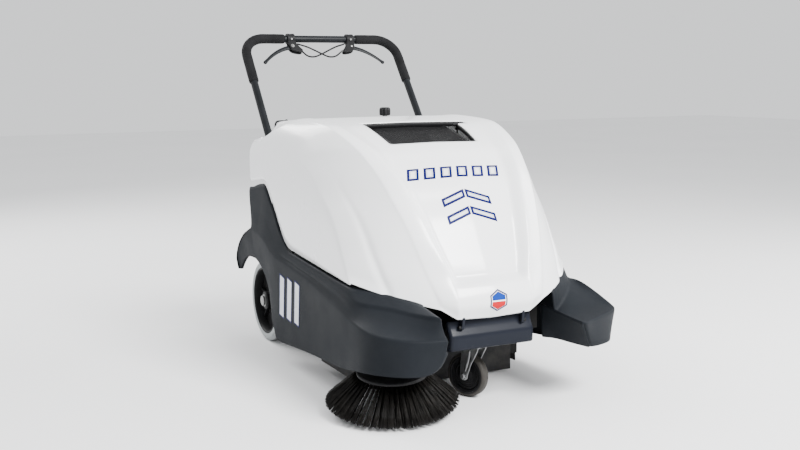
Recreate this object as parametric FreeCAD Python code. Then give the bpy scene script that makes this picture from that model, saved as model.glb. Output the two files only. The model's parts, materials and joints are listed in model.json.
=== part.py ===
"""Walk behind sweeper with a petrol engine, a rear hopper, a main brush and one side brush.

Millimetres, +Z up, floor at Z = 0. The front faces -Y and the operator stands at +Y.
Parts are drawn about the machine's centre plane X = 0, and frame_shift() moves them all to the row frame.
"""
import FreeCAD, Part
import math
import os

V = FreeCAD.Vector
X_AXIS = V(1, 0, 0)
Y_AXIS = V(0, 1, 0)
Z_AXIS = V(0, 0, 1)

# Driving dimensions, about the centre plane
WHEEL_R = 136.5
WHEEL_IN = 252.0
WHEEL_OUT = 302.0
TYRE_DEPTH = 24.0
AXLE_Y = 449.0
AXLE_R = 12.5
RUN_GAP = 0.05
BELT_GAP = 0.4

CASTER_R = 62.5
CASTER_WIDTH = 32.0
CASTER_X = 4.0
CASTER_Y = -440.0
CASTER_TRAIL = 22.0
CASTER_TURN = 26.0
CASTER_TOP = 150.0

BAR_R = 12.5
BAR_HALF = 288.0
BAR_Y = 656.0
BAR_Z = 1020.0
BAR_BEND = 75.0
FOAM_R = 17.0
FOAM_END = V(0, 539, 871)
HANDLE_PIVOT = V(0, 362, 645)
CLAMP_X = 113.0
LEVER_DROP = 35.0
LEVER_STEPS = 8
LEVER_TIP = V(224, 605, 938)

RAIL_IN = 208.0
RAIL_OUT = 236.0
RAIL_Z0 = 330.0
RAIL_Z1 = 370.0
RAIL_FRONT = -400.0
RAIL_REAR = 470.0
SHEET = 6.0

BRUSH_Y = -110.0
BRUSH_Z = 132.0
BRUSH_R = 128.0
BRUSH_CORE_R = 45.0
BRUSH_HALF = 240.0
BRUSH_SHAFT_R = 12.0
TUNNEL_IN = 258.0
TUNNEL_FRONT = -255.0
TUNNEL_REAR = 38.0
TUNNEL_TOP = 290.0
TUNNEL_BOTTOM = 52.0

SIDE_BRUSH_X = -255.0
SIDE_BRUSH_Y = -447.0
SIDE_BRUSH_R = 182.0
SIDE_BRUSH_TILT = 5.7
SIDE_BRUSH_LOW = V(-0.435, -0.90, 0)
SIDE_BRUSH_CLEAR = 1.5
SIDE_DISC_R = 95.0
ARM_PIVOT = V(-254, -285, 235)

CRANK_Y = -30.0
CRANK_Z = 450.0
CRANK_R = 10.0
SHROUD_Z = 470.0
BELT_X = 277.0
BELT_W = 14.0
BELT_THICK = 5.0
CRANK_PULLEY_R = 30.0
BRUSH_PULLEY_R = 45.0
FAN_BELT_X = 260.0
FAN_Y = 200.0
FAN_Z = 480.0
FAN_R = 85.0
FAN_SHAFT_R = 8.0
TANK_X = 120.0
TANK_Y = 108.0
TANK_TOP = 640.0
CHAIN_X = 239.0
CHAIN_W = 7.0
CHAIN_THICK = 6.0
SPROCKET_R = 50.0
PINION_R = 25.0
PINION_Y = 305.0
PINION_Z = 415.0

HOPPER_HALF = 179.0
HOPPER_FRONT = 45.0
HOPPER_REAR = 560.0
HOPPER_Z0 = 160.0
HOPPER_Z1 = 320.0
WALL = 4.0

HOOD_HALF = 341.0
HOOD_HINGE_Y = -540.0
HOOD_HINGE_Z = 232.0
INTAKE_FRONT = -209.0
INTAKE_REAR = -38.0
GRILLE_THICK = 4.0

SKIRT_IN = 344.0
SKIRT_OUT = 350.0
ARCH_Y = 430.0
ARCH_Z = 110.0
ARCH_R = 190.0
FENDER_INNER = 206.0
FENDER_OUTER = 382.0
FENDER_FRONT = -673.0
FENDER_BOTTOM = 158.0

BUMPER_HALF = 130.0
BUMPER_FRONT = -546.0
BUMPER_Z0 = 168.0
BUMPER_Z1 = 227.0

CLAMP_R = 19.0

# Half of the hood's skin, from the front lip to the back edge. Each rib runs up from the side's
# bottom edge, over the side arch, the shoulder crease and the centre panel's edge, to the crown.
HOOD_RIBS = [
    # bottom (y, z), arch (y, z), shoulder (x, y, z), panel edge (x, y, z), crown (y, z)
    ((-371, 339), (-371, 345), (159, -544, 286), (112, -548, 256), (-540, 250)),
    ((-340, 341), (-352, 364), (163, -536, 310), (114, -562, 302), (-566, 300)),
    ((-310, 343), (-336, 386), (178, -510, 363), (118, -529, 363), (-520, 363)),
    ((-270, 346), (-308, 424), (191, -484, 413), (133, -507, 413), (-482, 410)),
    ((-220, 349), (-276, 470), (201, -458, 463), (148, -476, 463), (-447, 463)),
    ((-160, 353), (-230, 518), (213, -426, 513), (161, -445, 513), (-413, 512)),
    ((-95, 358), (-165, 561), (226, -388, 563), (174, -407, 563), (-378, 562)),
    ((-30, 362), (-95, 609), (238, -341, 614), (188, -366, 614), (-338, 616)),
    ((40, 367), (-20, 638), (252, -280, 664), (208, -298, 664), (-268, 662)),
    ((92, 372), (45, 654), (264, -220, 699), (218, -240, 697), (-204, 697)),
    ((140, 397), (150, 667), (278, -118, 737), (236, -125, 737), (-110, 720)),
    ((200, 462), (250, 669), (284, -36, 751), (241, -36, 753), (-36, 740)),
    ((260, 527), (330, 666), (286, 120, 757), (241, 120, 761), (120, 762)),
    ((309, 560), (370, 663), (288, 220, 752), (241, 225, 756), (230, 757)),
    ((446, 547), (446, 650), (290, 300, 746), (241, 308, 750), (312, 750)),
]


def box(x0, x1, y0, y1, z0, z1):
    return Part.makeBox(x1 - x0, y1 - y0, z1 - z0, V(x0, y0, z0))


def cylinder(radius, start, end):
    return Part.makeCylinder(radius, (end - start).Length, start, end - start)


def ring(radius, bore, start, end):
    return cylinder(radius, start, end).cut(cylinder(bore, start, end))


def across(radius, x0, x1, y, z):
    """A cylinder along X."""
    return cylinder(radius, V(x0, y, z), V(x1, y, z))


def prism(points, along):
    """A prism of a closed outline of points, extruded along a vector."""
    wire = Part.makePolygon(points + points[:1])
    return Part.Face(wire).extrude(along)


def prism_yz(outline, x0, x1):
    return prism([V(x0, y, z) for y, z in outline], V(x1 - x0, 0, 0))


def prism_xy(outline, z0, z1):
    return prism([V(x, y, z0) for x, y in outline], V(0, 0, z1 - z0))


def mirrored(shape):
    return shape.mirror(V(0, 0, 0), X_AXIS)


def both_sides(shape):
    return [shape, mirrored(shape)]


def fuse(shapes):
    joined = shapes[0]
    for shape in shapes[1:]:
        joined = joined.fuse(shape)
    return joined.removeSplitter()


def cut(shape, tools):
    for tool in tools:
        shape = shape.cut(tool)
    return shape


def revolve(profile, centre, axis):
    """A ring turned from (radius, height) points about an axis through centre."""
    points = [V(r, 0, h) for r, h in profile]
    solid = Part.Face(Part.makePolygon(points + points[:1])).revolve(V(0, 0, 0), Z_AXIS, 360)
    solid.Placement = FreeCAD.Placement(centre, FreeCAD.Rotation(Z_AXIS, axis))
    return solid


def route(points, bends):
    """Straight runs joined by tangent arcs, one radius for each inner point."""
    edges = []
    start = points[0]
    for before, corner, after, radius in zip(points, points[1:], points[2:], bends):
        inward = (before - corner).normalize()
        outward = (after - corner).normalize()
        half_open = inward.getAngle(outward) / 2
        trim = radius / math.tan(half_open)
        middle = (inward + outward).normalize()
        centre = corner + middle * (radius / math.sin(half_open))
        first = corner + inward * trim
        last = corner + outward * trim
        edges.append(Part.LineSegment(start, first).toShape())
        edges.append(Part.Arc(first, centre - middle * radius, last).toShape())
        start = last
    edges.append(Part.LineSegment(start, points[-1]).toShape())
    return Part.Wire(edges)


def tube(points, bends, radius):
    """A round bar that follows a route."""
    section = Part.Wire([Part.makeCircle(radius, points[0], points[1] - points[0])])
    return route(points, bends).makePipeShell([section], True, False)


def cord_bends(points):
    """The largest tangent arcs that the runs of a cord allow."""
    bends = []
    for before, corner, after in zip(points, points[1:], points[2:]):
        turn = math.pi - (before - corner).getAngle(after - corner)
        run = min((before - corner).Length, (after - corner).Length)
        bends.append(0.45 * run / math.tan(turn / 2))
    return bends


def inset(outline, distance):
    """A convex outline, listed anticlockwise, moved inward."""
    moved = []
    count = len(outline)
    for i in range(count):
        (x0, y0), (x1, y1), (x2, y2) = outline[i - 1], outline[i], outline[(i + 1) % count]
        a = V(x1 - x0, y1 - y0, 0).normalize()
        b = V(x2 - x1, y2 - y1, 0).normalize()
        normal_a, normal_b = V(-a.y, a.x, 0), V(-b.y, b.x, 0)
        bisector = (normal_a + normal_b).normalize()
        step = distance / bisector.dot(normal_a)
        moved.append((x1 + bisector.x * step, y1 + bisector.y * step))
    return moved


def loop(first, first_r, second, second_r, x0, width, thickness):
    """A belt or chain round two pulleys whose axes lie along X."""
    def outline(extra):
        span = V(0, second[0] - first[0], second[1] - first[1])
        lean = math.acos((first_r - second_r) / span.Length)
        angle = math.atan2(span.z, span.y)
        corners = []
        for centre, radius in ((first, first_r), (second, second_r)):
            for side in (1, -1):
                a = angle + side * lean
                reach = radius + extra
                corners.append((centre[0] + reach * math.cos(a), centre[1] + reach * math.sin(a)))
        band = prism_yz([corners[0], corners[1], corners[3], corners[2]], x0, x0 + width)
        ends = [
            across(first_r + extra, x0, x0 + width, *first),
            across(second_r + extra, x0, x0 + width, *second),
        ]
        return fuse([band] + ends)

    return outline(BELT_GAP + thickness).cut(outline(BELT_GAP))


# Frame and body

def chassis_frame():
    rail = box(RAIL_IN, RAIL_OUT, RAIL_FRONT, RAIL_REAR, RAIL_Z0, RAIL_Z1)
    hollow = box(RAIL_IN + 3, RAIL_OUT - 3, RAIL_FRONT - 1, RAIL_REAR + 1, RAIL_Z0 + 3, RAIL_Z1 - 3)
    rail = rail.cut(hollow)
    hanger = prism_yz(
        [(AXLE_Y - 55, RAIL_Z0), (AXLE_Y + 20, RAIL_Z0), (AXLE_Y + 45, 95), (AXLE_Y - 45, 95)],
        212, 212 + SHEET,
    ).cut(across(AXLE_R + 2, 200, 230, AXLE_Y, WHEEL_R))
    tunnel_hanger = box(RAIL_IN, RAIL_OUT, -60, -20, TUNNEL_TOP, RAIL_Z0)
    front_arm = box(92, 122, BUMPER_FRONT + 42, RAIL_FRONT + SHEET, 178, 218)
    hinge_lug = fuse([
        box(98, 104, HOOD_HINGE_Y, -486, BUMPER_Z1, HOOD_HINGE_Z),
        box(98, 104, -500, -486, 190, HOOD_HINGE_Z),
        across(5, 98, 104, HOOD_HINGE_Y, HOOD_HINGE_Z),
    ])
    hinge_pin = across(4, 88, 104, HOOD_HINGE_Y, HOOD_HINGE_Z)
    pieces = []
    for part in (rail, hanger, tunnel_hanger, front_arm, hinge_lug, hinge_pin):
        pieces += both_sides(part)
    bulkhead = box(-RAIL_OUT, RAIL_OUT, RAIL_FRONT, RAIL_FRONT + SHEET, 165, RAIL_Z1)
    front_member = box(-RAIL_IN, RAIL_IN, RAIL_FRONT + SHEET, RAIL_FRONT + 40, RAIL_Z0, RAIL_Z1)
    rear_member = box(-RAIL_IN, RAIL_IN, RAIL_REAR - 30, RAIL_REAR, RAIL_Z0, RAIL_Z1)
    arm_bracket = box(-RAIL_OUT - SHEET, -RAIL_OUT, -310, -260, 215, RAIL_Z1)
    arm_pin = across(6, -RAIL_OUT - 40, -RAIL_OUT, ARM_PIVOT.y, ARM_PIVOT.z)
    caster_beam = box(-92, 92, CASTER_Y - 25, CASTER_Y + 25, 178, 218)
    return fuse(pieces + [bulkhead, front_member, rear_member, arm_bracket, arm_pin, caster_beam])


def front_bumper():
    outline = [
        (BUMPER_FRONT, BUMPER_Z0 + 8), (BUMPER_FRONT, BUMPER_Z1 - 14), (BUMPER_FRONT + 14, BUMPER_Z1 - 4),
        (BUMPER_FRONT + 41.5, BUMPER_Z1 - 4), (BUMPER_FRONT + 41.5, BUMPER_Z0), (BUMPER_FRONT + 8, BUMPER_Z0),
    ]
    return prism_yz(outline, -BUMPER_HALF, BUMPER_HALF)


def fairing(outer_front):
    """The right side fairing with its fender. outer_front is the fender's outline ahead of the skirt."""
    arch_front = (ARCH_Y - math.sqrt(ARCH_R ** 2 - (ARCH_Z - 60) ** 2), 60)
    skirt = prism_yz([
        arch_front, (-400, 112), (-430, 250), (-371, 333), (-269, 340), (-159, 346), (-42, 354), (89, 365),
        (113, 377), (163, 419), (197, 459), (232, 493), (285, 545), (330, 548), (428, 520), (425, 465),
        (410, 415), (475, 372), (545, 325), (572, 275), (560, 232), (ARCH_Y, 232), (ARCH_Y, 60),
    ], -SKIRT_OUT, -SKIRT_IN)
    arch = across(ARCH_R, -SKIRT_OUT - 1, -SKIRT_IN + 1, ARCH_Y, ARCH_Z)
    skirt = skirt.cut(arch)
    ledge = prism_yz(
        [(-371, 333), (-269, 340), (-159, 346), (-42, 354), (89, 365), (89, 360), (-42, 349), (-371, 328)],
        -SKIRT_OUT, -SKIRT_IN + 40,
    )
    guard = prism_yz(
        [(475, 372), (545, 325), (572, 275), (560, 232), (554, 232), (566, 274), (540, 320), (474, 365)],
        -SKIRT_OUT, -SKIRT_IN + 40,
    )
    plan = [(-FENDER_INNER, -462)] + [(-300, -325), (-SKIRT_IN - 2, -325)] + outer_front
    side = [
        (FENDER_FRONT - 1, FENDER_BOTTOM), (-300, FENDER_BOTTOM), (-300, 334), (-371, 330),
        (-560, 272), (FENDER_FRONT - 1, 240),
    ]
    side_in = [
        (FENDER_FRONT - 1, FENDER_BOTTOM - 1), (-300, FENDER_BOTTOM - 1), (-300, 329), (-371, 325),
        (-560, 267), (FENDER_FRONT - 1, 235),
    ]
    outer = prism_xy(plan, FENDER_BOTTOM, 360).common(prism_yz(side, -500, 0))
    inner = prism_xy(inset(plan, 5), FENDER_BOTTOM - 1, 360).common(prism_yz(side_in, -500, 0))
    fender = outer.cut(inner)
    door_out, door_in = -SKIRT_IN + 1, -FENDER_INNER - 5
    doorway = [(door_out, -300), (door_out, -460), (door_in, -460), (door_in, -300)]
    clear = prism_xy(doorway, FENDER_BOTTOM - 1, 360).common(prism_yz(side_in, -500, 0))
    skirt = skirt.cut(inner)
    return fuse([skirt, ledge, guard, fender.cut(clear)])


def fairings():
    rounded = [(-366, -400), (-378, -470), (-FENDER_OUTER, -560)]
    rounded += [(-350, -622), (-300, -656), (-240, FENDER_FRONT), (-FENDER_INNER, FENDER_FRONT)]
    angular = [(-366, -400), (-FENDER_OUTER, -480), (-FENDER_OUTER, -588), (-FENDER_INNER, FENDER_FRONT)]
    return {"fairing_right": fairing(rounded), "fairing_left": mirrored(fairing(angular))}


def rear_panel():
    line = [(318, 730), (345, 690), (430, 610), (452, 570), (452, RAIL_Z1 + 2)]
    back = [(y + 5, z + 3) for y, z in line]
    panel = prism_yz(line + back[::-1], -255, 255)
    return panel.cut(cylinder(8, V(108, 345, 600), V(108, 345, 760)))


def brush_tunnel():
    outer = box(-TUNNEL_IN - WALL, TUNNEL_IN + WALL, TUNNEL_FRONT, TUNNEL_REAR, TUNNEL_BOTTOM, TUNNEL_TOP)
    inner = box(-TUNNEL_IN, TUNNEL_IN, TUNNEL_FRONT + WALL, TUNNEL_REAR - WALL, 0, TUNNEL_TOP - WALL)
    mouth = box(-HOPPER_HALF, HOPPER_HALF, TUNNEL_REAR - 10, TUNNEL_REAR + 10, 175, TUNNEL_TOP - 12)
    floor_gap = box(-TUNNEL_IN, TUNNEL_IN, TUNNEL_REAR - 10, TUNNEL_REAR + 10, 0, 60)
    bores = [across(BRUSH_SHAFT_R + 2, side * 250, side * 270, BRUSH_Y, BRUSH_Z) for side in (1, -1)]
    return cut(outer, [inner, mouth, floor_gap] + bores)


def flaps():
    front = box(-236, 236, TUNNEL_FRONT - 4, TUNNEL_FRONT, 6, 90)
    rear = box(-236, 236, TUNNEL_REAR, TUNNEL_REAR + 4, 6, 100)
    side = box(TUNNEL_IN + WALL, TUNNEL_IN + WALL + 4, -240, 30, 24, 90)
    return {
        "cross_flaps": Part.makeCompound([front, rear]),
        "side_flaps": Part.makeCompound(both_sides(side)),
    }


def engine_plate():
    plate = box(-RAIL_OUT, RAIL_OUT, -170, 330, RAIL_Z1, RAIL_Z1 + SHEET)
    air_hole = cylinder(50, V(-5, FAN_Y, 360), V(-5, FAN_Y, 390))
    return plate.cut(air_hole)


def handle_brackets():
    y, z = HANDLE_PIVOT.y, HANDLE_PIVOT.z
    plate = prism_yz([(372, RAIL_Z1), (442, RAIL_Z1), (442, 500), (446, 712), (416, 712), (y - 18, z + 18),
                      (y - 18, z - 18)], 262, 268)
    foot = box(RAIL_IN, 268, 372, 442, RAIL_Z1, RAIL_Z1 + SHEET)
    pin = across(6, 268, BAR_HALF + 18, y, z)
    head = across(11, BAR_HALF + 13.5, BAR_HALF + 19, y, z)
    throttle_pin = mirrored(across(4, 244, 262, 430, 700))
    bracket = fuse([plate, foot, pin, head])
    return Part.makeCompound([bracket, fuse([mirrored(bracket), throttle_pin])])


def caster_plate():
    plate = box(-50, 50, CASTER_Y - 42, RAIL_FRONT, CASTER_TOP + 8, 178)
    hollow = box(-44, 44, CASTER_Y - 36, CASTER_Y + 36, CASTER_TOP + 12, 172)
    window = box(-60, 60, CASTER_Y - 30, CASTER_Y + 30, CASTER_TOP + 14, 172)
    king_pin = cylinder(7, V(0, CASTER_Y, CASTER_TOP - 8), V(0, CASTER_Y, CASTER_TOP + 12))
    top_plate = fuse([cut(plate, [hollow, window]), king_pin])
    top_plate.translate(V(CASTER_X, 0, 0))
    return top_plate


# Engine and drive

def engine_block():
    crankcase = box(-60, 60, CRANK_Y - 80, CRANK_Y + 80, RAIL_Z1 + SHEET, 510)
    barrel = cylinder(38, V(0, CRANK_Y, 505), V(0, CRANK_Y, 626))
    fins = [box(-52, 52, CRANK_Y - 55, CRANK_Y + 55, z, z + 4) for z in range(520, 620, 11)]
    head = box(-48, 48, CRANK_Y - 50, CRANK_Y + 50, 622, 640)
    shaft_room = across(CRANK_R + RUN_GAP, 20, 70, CRANK_Y, CRANK_Z)
    return fuse([crankcase, barrel, head] + fins).cut(shaft_room)


def engine_shroud():
    drum = across(92, -124, -60.5, CRANK_Y, SHROUD_Z)
    hollow = across(86, -118, -60, CRANK_Y, SHROUD_Z)
    vents = []
    for i in range(16):
        angle = math.radians(i * 22.5)
        y = CRANK_Y + 60 * math.cos(angle)
        z = SHROUD_Z + 60 * math.sin(angle)
        vents.append(across(7, -130, -110, y, z))
    return cut(drum, [hollow] + vents)


def crank():
    shaft = across(CRANK_R, 30, BELT_X + BELT_W + 2, CRANK_Y, CRANK_Z)
    pulleys = [
        across(CRANK_PULLEY_R, BELT_X, BELT_X + BELT_W, CRANK_Y, CRANK_Z),
        across(BRUSH_PULLEY_R, FAN_BELT_X, FAN_BELT_X + BELT_W, CRANK_Y, CRANK_Z),
    ]
    return fuse([shaft] + pulleys)


def fuel_tank():
    body = box(TANK_X - 62, TANK_X + 62, TANK_Y - 68, TANK_Y + 68, 540, TANK_TOP)
    body = body.makeFillet(22, body.Edges)
    neck = cylinder(24, V(TANK_X, TANK_Y, TANK_TOP - 10), V(TANK_X, TANK_Y, TANK_TOP + 12))
    strap = box(TANK_X - 10, TANK_X + 10, TANK_Y - 69, TANK_Y + 69, 538, 541)
    post = box(TANK_X - 10, TANK_X + 10, TANK_Y - 10, TANK_Y + 10, RAIL_Z1 + SHEET, 541)
    return fuse([body, neck, strap, post])


def fuel_cap():
    base = V(TANK_X, TANK_Y, TANK_TOP + 12.5)
    cap = cylinder(30, base, base + V(0, 0, 19))
    flutes = []
    for i in range(10):
        angle = math.radians(36 * i)
        centre = base + V(31 * math.cos(angle), 31 * math.sin(angle), 4)
        flutes.append(cylinder(4, centre, centre + V(0, 0, 20)))
    return cut(cap, flutes)


def muffler():
    body = box(-150, -58, -160, -116, 535, 610)
    body = body.makeFillet(14, body.Edges)
    pipe = cylinder(12, V(-66, -128, 572), V(-46, -82, 572))
    outlet = cylinder(9, V(-130, -140, 540), V(-130, -140, 500))
    return fuse([body, pipe, outlet])


def air_cleaner():
    body = box(64, 150, -130, -50, 540, 620)
    body = body.makeFillet(12, body.Edges)
    return fuse([body, cylinder(14, V(107, -90, 560), V(48, -58, 560))])


def fan_housing():
    drum = across(FAN_R + 14, -46, 46, FAN_Y, FAN_Z)
    hollow = across(FAN_R + 8, -40, 40, FAN_Y, FAN_Z)
    duct = box(-40, 40, FAN_Y - 50, FAN_Y + 50, RAIL_Z1 + SHEET, FAN_Z)
    duct_room = box(-36, 36, FAN_Y - 46, FAN_Y + 46, RAIL_Z1, FAN_Z)
    outlet = box(-40, 40, FAN_Y + 40, FAN_Y + 150, FAN_Z + 30, FAN_Z + 98)
    outlet_room = box(-36, 36, FAN_Y + 30, FAN_Y + 160, FAN_Z + 34, FAN_Z + 94)
    shaft_bore = across(FAN_SHAFT_R + RUN_GAP, -60, 60, FAN_Y, FAN_Z)
    return cut(fuse([drum, duct, outlet]), [hollow, duct_room, outlet_room, shaft_bore])


def fan_impeller():
    shaft = across(FAN_SHAFT_R, -44, FAN_BELT_X + BELT_W + 2, FAN_Y, FAN_Z)
    disc = across(FAN_R, -32, -28, FAN_Y, FAN_Z)
    hub = across(20, -32, 26, FAN_Y, FAN_Z)
    pulley = across(CRANK_PULLEY_R, FAN_BELT_X, FAN_BELT_X + BELT_W, FAN_Y, FAN_Z)
    blades = []
    for i in range(10):
        blade = box(-30, 26, 18, FAN_R, -1.5, 1.5)
        blade.translate(V(0, FAN_Y, FAN_Z))
        blade.rotate(V(0, FAN_Y, FAN_Z), X_AXIS, 36 * i)
        blades.append(blade)
    return fuse([shaft, disc, hub, pulley] + blades)


def panel_filter():
    frame = box(-180, 180, 170, 400, 328, 368).cut(box(-170, 170, 180, 390, 320, 380))
    pleats = [box(-170, 170, y, y + 3, 330, 364) for y in range(184, 388, 10)]
    return Part.makeCompound([frame] + pleats)


def gearbox():
    case = box(130, 205, PINION_Y - 32, PINION_Y + 22, RAIL_Z1 + SHEET, PINION_Z + 40)
    case = case.makeFillet(8, case.Edges)
    bore = across(CRANK_R + RUN_GAP, 150, 240, PINION_Y, PINION_Z)
    return case.cut(bore)


def gearbox_pinion():
    shaft = across(CRANK_R, 160, CHAIN_X + CHAIN_W + 2, PINION_Y, PINION_Z)
    return fuse([shaft, across(PINION_R, CHAIN_X + 1, CHAIN_X + CHAIN_W - 1, PINION_Y, PINION_Z)])


def belts():
    crank_at, brush_at, fan_at = (CRANK_Y, CRANK_Z), (BRUSH_Y, BRUSH_Z), (FAN_Y, FAN_Z)
    axle_at, pinion_at = (AXLE_Y, WHEEL_R), (PINION_Y, PINION_Z)
    width = BELT_W - 2
    return {
        "brush_belt": loop(brush_at, BRUSH_PULLEY_R, crank_at, CRANK_PULLEY_R, BELT_X + 1, width, BELT_THICK),
        "fan_belt": loop(crank_at, BRUSH_PULLEY_R, fan_at, CRANK_PULLEY_R, FAN_BELT_X + 1, width, BELT_THICK),
        "drive_chain": loop(axle_at, SPROCKET_R, pinion_at, PINION_R, CHAIN_X, CHAIN_W, CHAIN_THICK),
    }


def starter_grip():
    grip = cylinder(6.5, V(140, -62, 741), V(184, -62, 741))
    rope = cylinder(2.5, V(160, -62, 570), V(160, -62, 738))
    return fuse([grip, rope])


def starter_guide():
    post = box(150, 170, -76, -66.5, RAIL_Z1 + SHEET, 690)
    shelf = box(150, 170, -76, -50, 690, 696)
    return fuse([post, shelf]).cut(cylinder(3.2, V(160, -62, 680), V(160, -62, 700)))


# Brushes

def main_brush():
    shaft = across(BRUSH_SHAFT_R, -TUNNEL_IN - 14, BELT_X + BELT_W + 2, BRUSH_Y, BRUSH_Z)
    core = across(BRUSH_CORE_R, -BRUSH_HALF, BRUSH_HALF, BRUSH_Y, BRUSH_Z)
    pulley = across(BRUSH_PULLEY_R, BELT_X, BELT_X + BELT_W, BRUSH_Y, BRUSH_Z)
    rows = []
    for i in range(8):
        row = box(-BRUSH_HALF + 4, BRUSH_HALF - 4, BRUSH_CORE_R - 1, BRUSH_R, -5, 5)
        row.translate(V(0, BRUSH_Y, BRUSH_Z))
        row.rotate(V(0, BRUSH_Y, BRUSH_Z), X_AXIS, 45 * i)
        rows.append(row)
    core = fuse([shaft, core, pulley])
    return {"brush_core": core, "brush_bristles": fuse(rows).cut(core)}


def side_axis():
    tilt = math.radians(SIDE_BRUSH_TILT)
    flat = V(SIDE_BRUSH_LOW).normalize()
    return (flat * math.sin(tilt) + Z_AXIS * math.cos(tilt)).normalize()


def side_centre():
    """The middle of the circle that the bristle tips run on."""
    drop = SIDE_BRUSH_R * math.sin(math.radians(SIDE_BRUSH_TILT))
    return V(SIDE_BRUSH_X, SIDE_BRUSH_Y, SIDE_BRUSH_CLEAR + drop)


def side_brush():
    axis, centre = side_axis(), side_centre()
    disc = revolve([(0, 84), (70, 84), (SIDE_DISC_R, 88), (SIDE_DISC_R, 96), (60, 104), (22, 106), (22, 118),
                    (0, 118)], centre, axis)
    tips = [(72, 83.5), (SIDE_DISC_R - 2, 87.2), (SIDE_BRUSH_R, 0), (SIDE_BRUSH_R - 26, 0)]
    return {"side_brush_disc": disc, "side_brush_bristles": revolve(tips, centre, axis)}


def side_brush_arm():
    axis, centre = side_axis(), side_centre()
    drive = cylinder(36, centre + axis * 119, centre + axis * 178)
    cap = cylinder(26, centre + axis * 177, centre + axis * 192)
    top = centre + axis * 168
    beam = prism_yz([
        (top.y - 10, top.z - 26), (top.y - 10, top.z + 8), (ARM_PIVOT.y, ARM_PIVOT.z + 10),
        (ARM_PIVOT.y, ARM_PIVOT.z - 12),
    ], ARM_PIVOT.x - 10, ARM_PIVOT.x + 10)
    boss = across(14, ARM_PIVOT.x - 12, ARM_PIVOT.x + 11, ARM_PIVOT.y, ARM_PIVOT.z)
    bore = across(6 + RUN_GAP, ARM_PIVOT.x - 40, ARM_PIVOT.x + 40, ARM_PIVOT.y, ARM_PIVOT.z)
    return fuse([drive, cap, beam, boss]).cut(bore)


# Wheels

def wheel_profile(r_in, r_out, half, round_off):
    return [
        (r_in, -half), (r_out - round_off, -half), (r_out, -half + round_off),
        (r_out, half - round_off), (r_out - round_off, half), (r_in, half),
    ]


def rear_wheel(bore):
    """The right rear wheel, as rim and tyre."""
    middle = V(-(WHEEL_IN + WHEEL_OUT) / 2, AXLE_Y, WHEEL_R)
    half = (WHEEL_OUT - WHEEL_IN) / 2
    seat = WHEEL_R - TYRE_DEPTH
    tyre = revolve(wheel_profile(seat, WHEEL_R, half, 7), middle, X_AXIS)
    barrel = revolve([(seat - 8, -half), (seat, -half), (seat, half), (seat - 8, half)], middle, X_AXIS)
    web = revolve([(20, -2), (seat - 4, 8), (seat - 4, 14), (20, 4)], middle, X_AXIS)
    hub = ring(30, bore, middle - V(half, 0, 0), middle + V(half + 4, 0, 0))
    ribs = []
    for i in range(6):
        rib = box(-14, 6, 26, seat - 5, -4, 4)
        rib.translate(middle)
        rib.rotate(middle, X_AXIS, 60 * i)
        ribs.append(rib)
    rim = fuse([barrel, web, hub] + ribs).cut(across(bore, -320, -240, AXLE_Y, WHEEL_R))
    return rim, tyre


def rear_wheels():
    right_rim, right_tyre = rear_wheel(AXLE_R)
    left_rim, left_tyre = rear_wheel(AXLE_R + RUN_GAP)
    axle = across(AXLE_R, -WHEEL_OUT - 4, WHEEL_OUT + 4, AXLE_Y, WHEEL_R)
    nut = across(17, WHEEL_OUT + 1, WHEEL_OUT + 8, AXLE_Y, WHEEL_R)
    collar = ring(18, AXLE_R, V(-204, AXLE_Y, WHEEL_R), V(-196, AXLE_Y, WHEEL_R))
    sprocket = across(SPROCKET_R, CHAIN_X + 1, CHAIN_X + CHAIN_W - 1, AXLE_Y, WHEEL_R)
    return {
        "rear_axle": fuse([axle, nut, mirrored(nut), collar]),
        "axle_sprocket": sprocket.cut(across(AXLE_R, 230, 250, AXLE_Y, WHEEL_R)),
        "rim_right": right_rim,
        "tyre_right": right_tyre,
        "rim_left": mirrored(left_rim),
        "tyre_left": mirrored(left_tyre),
    }


def bearings():
    axle = ring(32, AXLE_R + RUN_GAP, V(218, AXLE_Y, WHEEL_R), V(232, AXLE_Y, WHEEL_R))
    start = V(TUNNEL_IN + WALL, BRUSH_Y, BRUSH_Z)
    brush = ring(30, BRUSH_SHAFT_R + RUN_GAP, start, start + V(9, 0, 0))
    return Part.makeCompound(both_sides(axle) + both_sides(brush))


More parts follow.
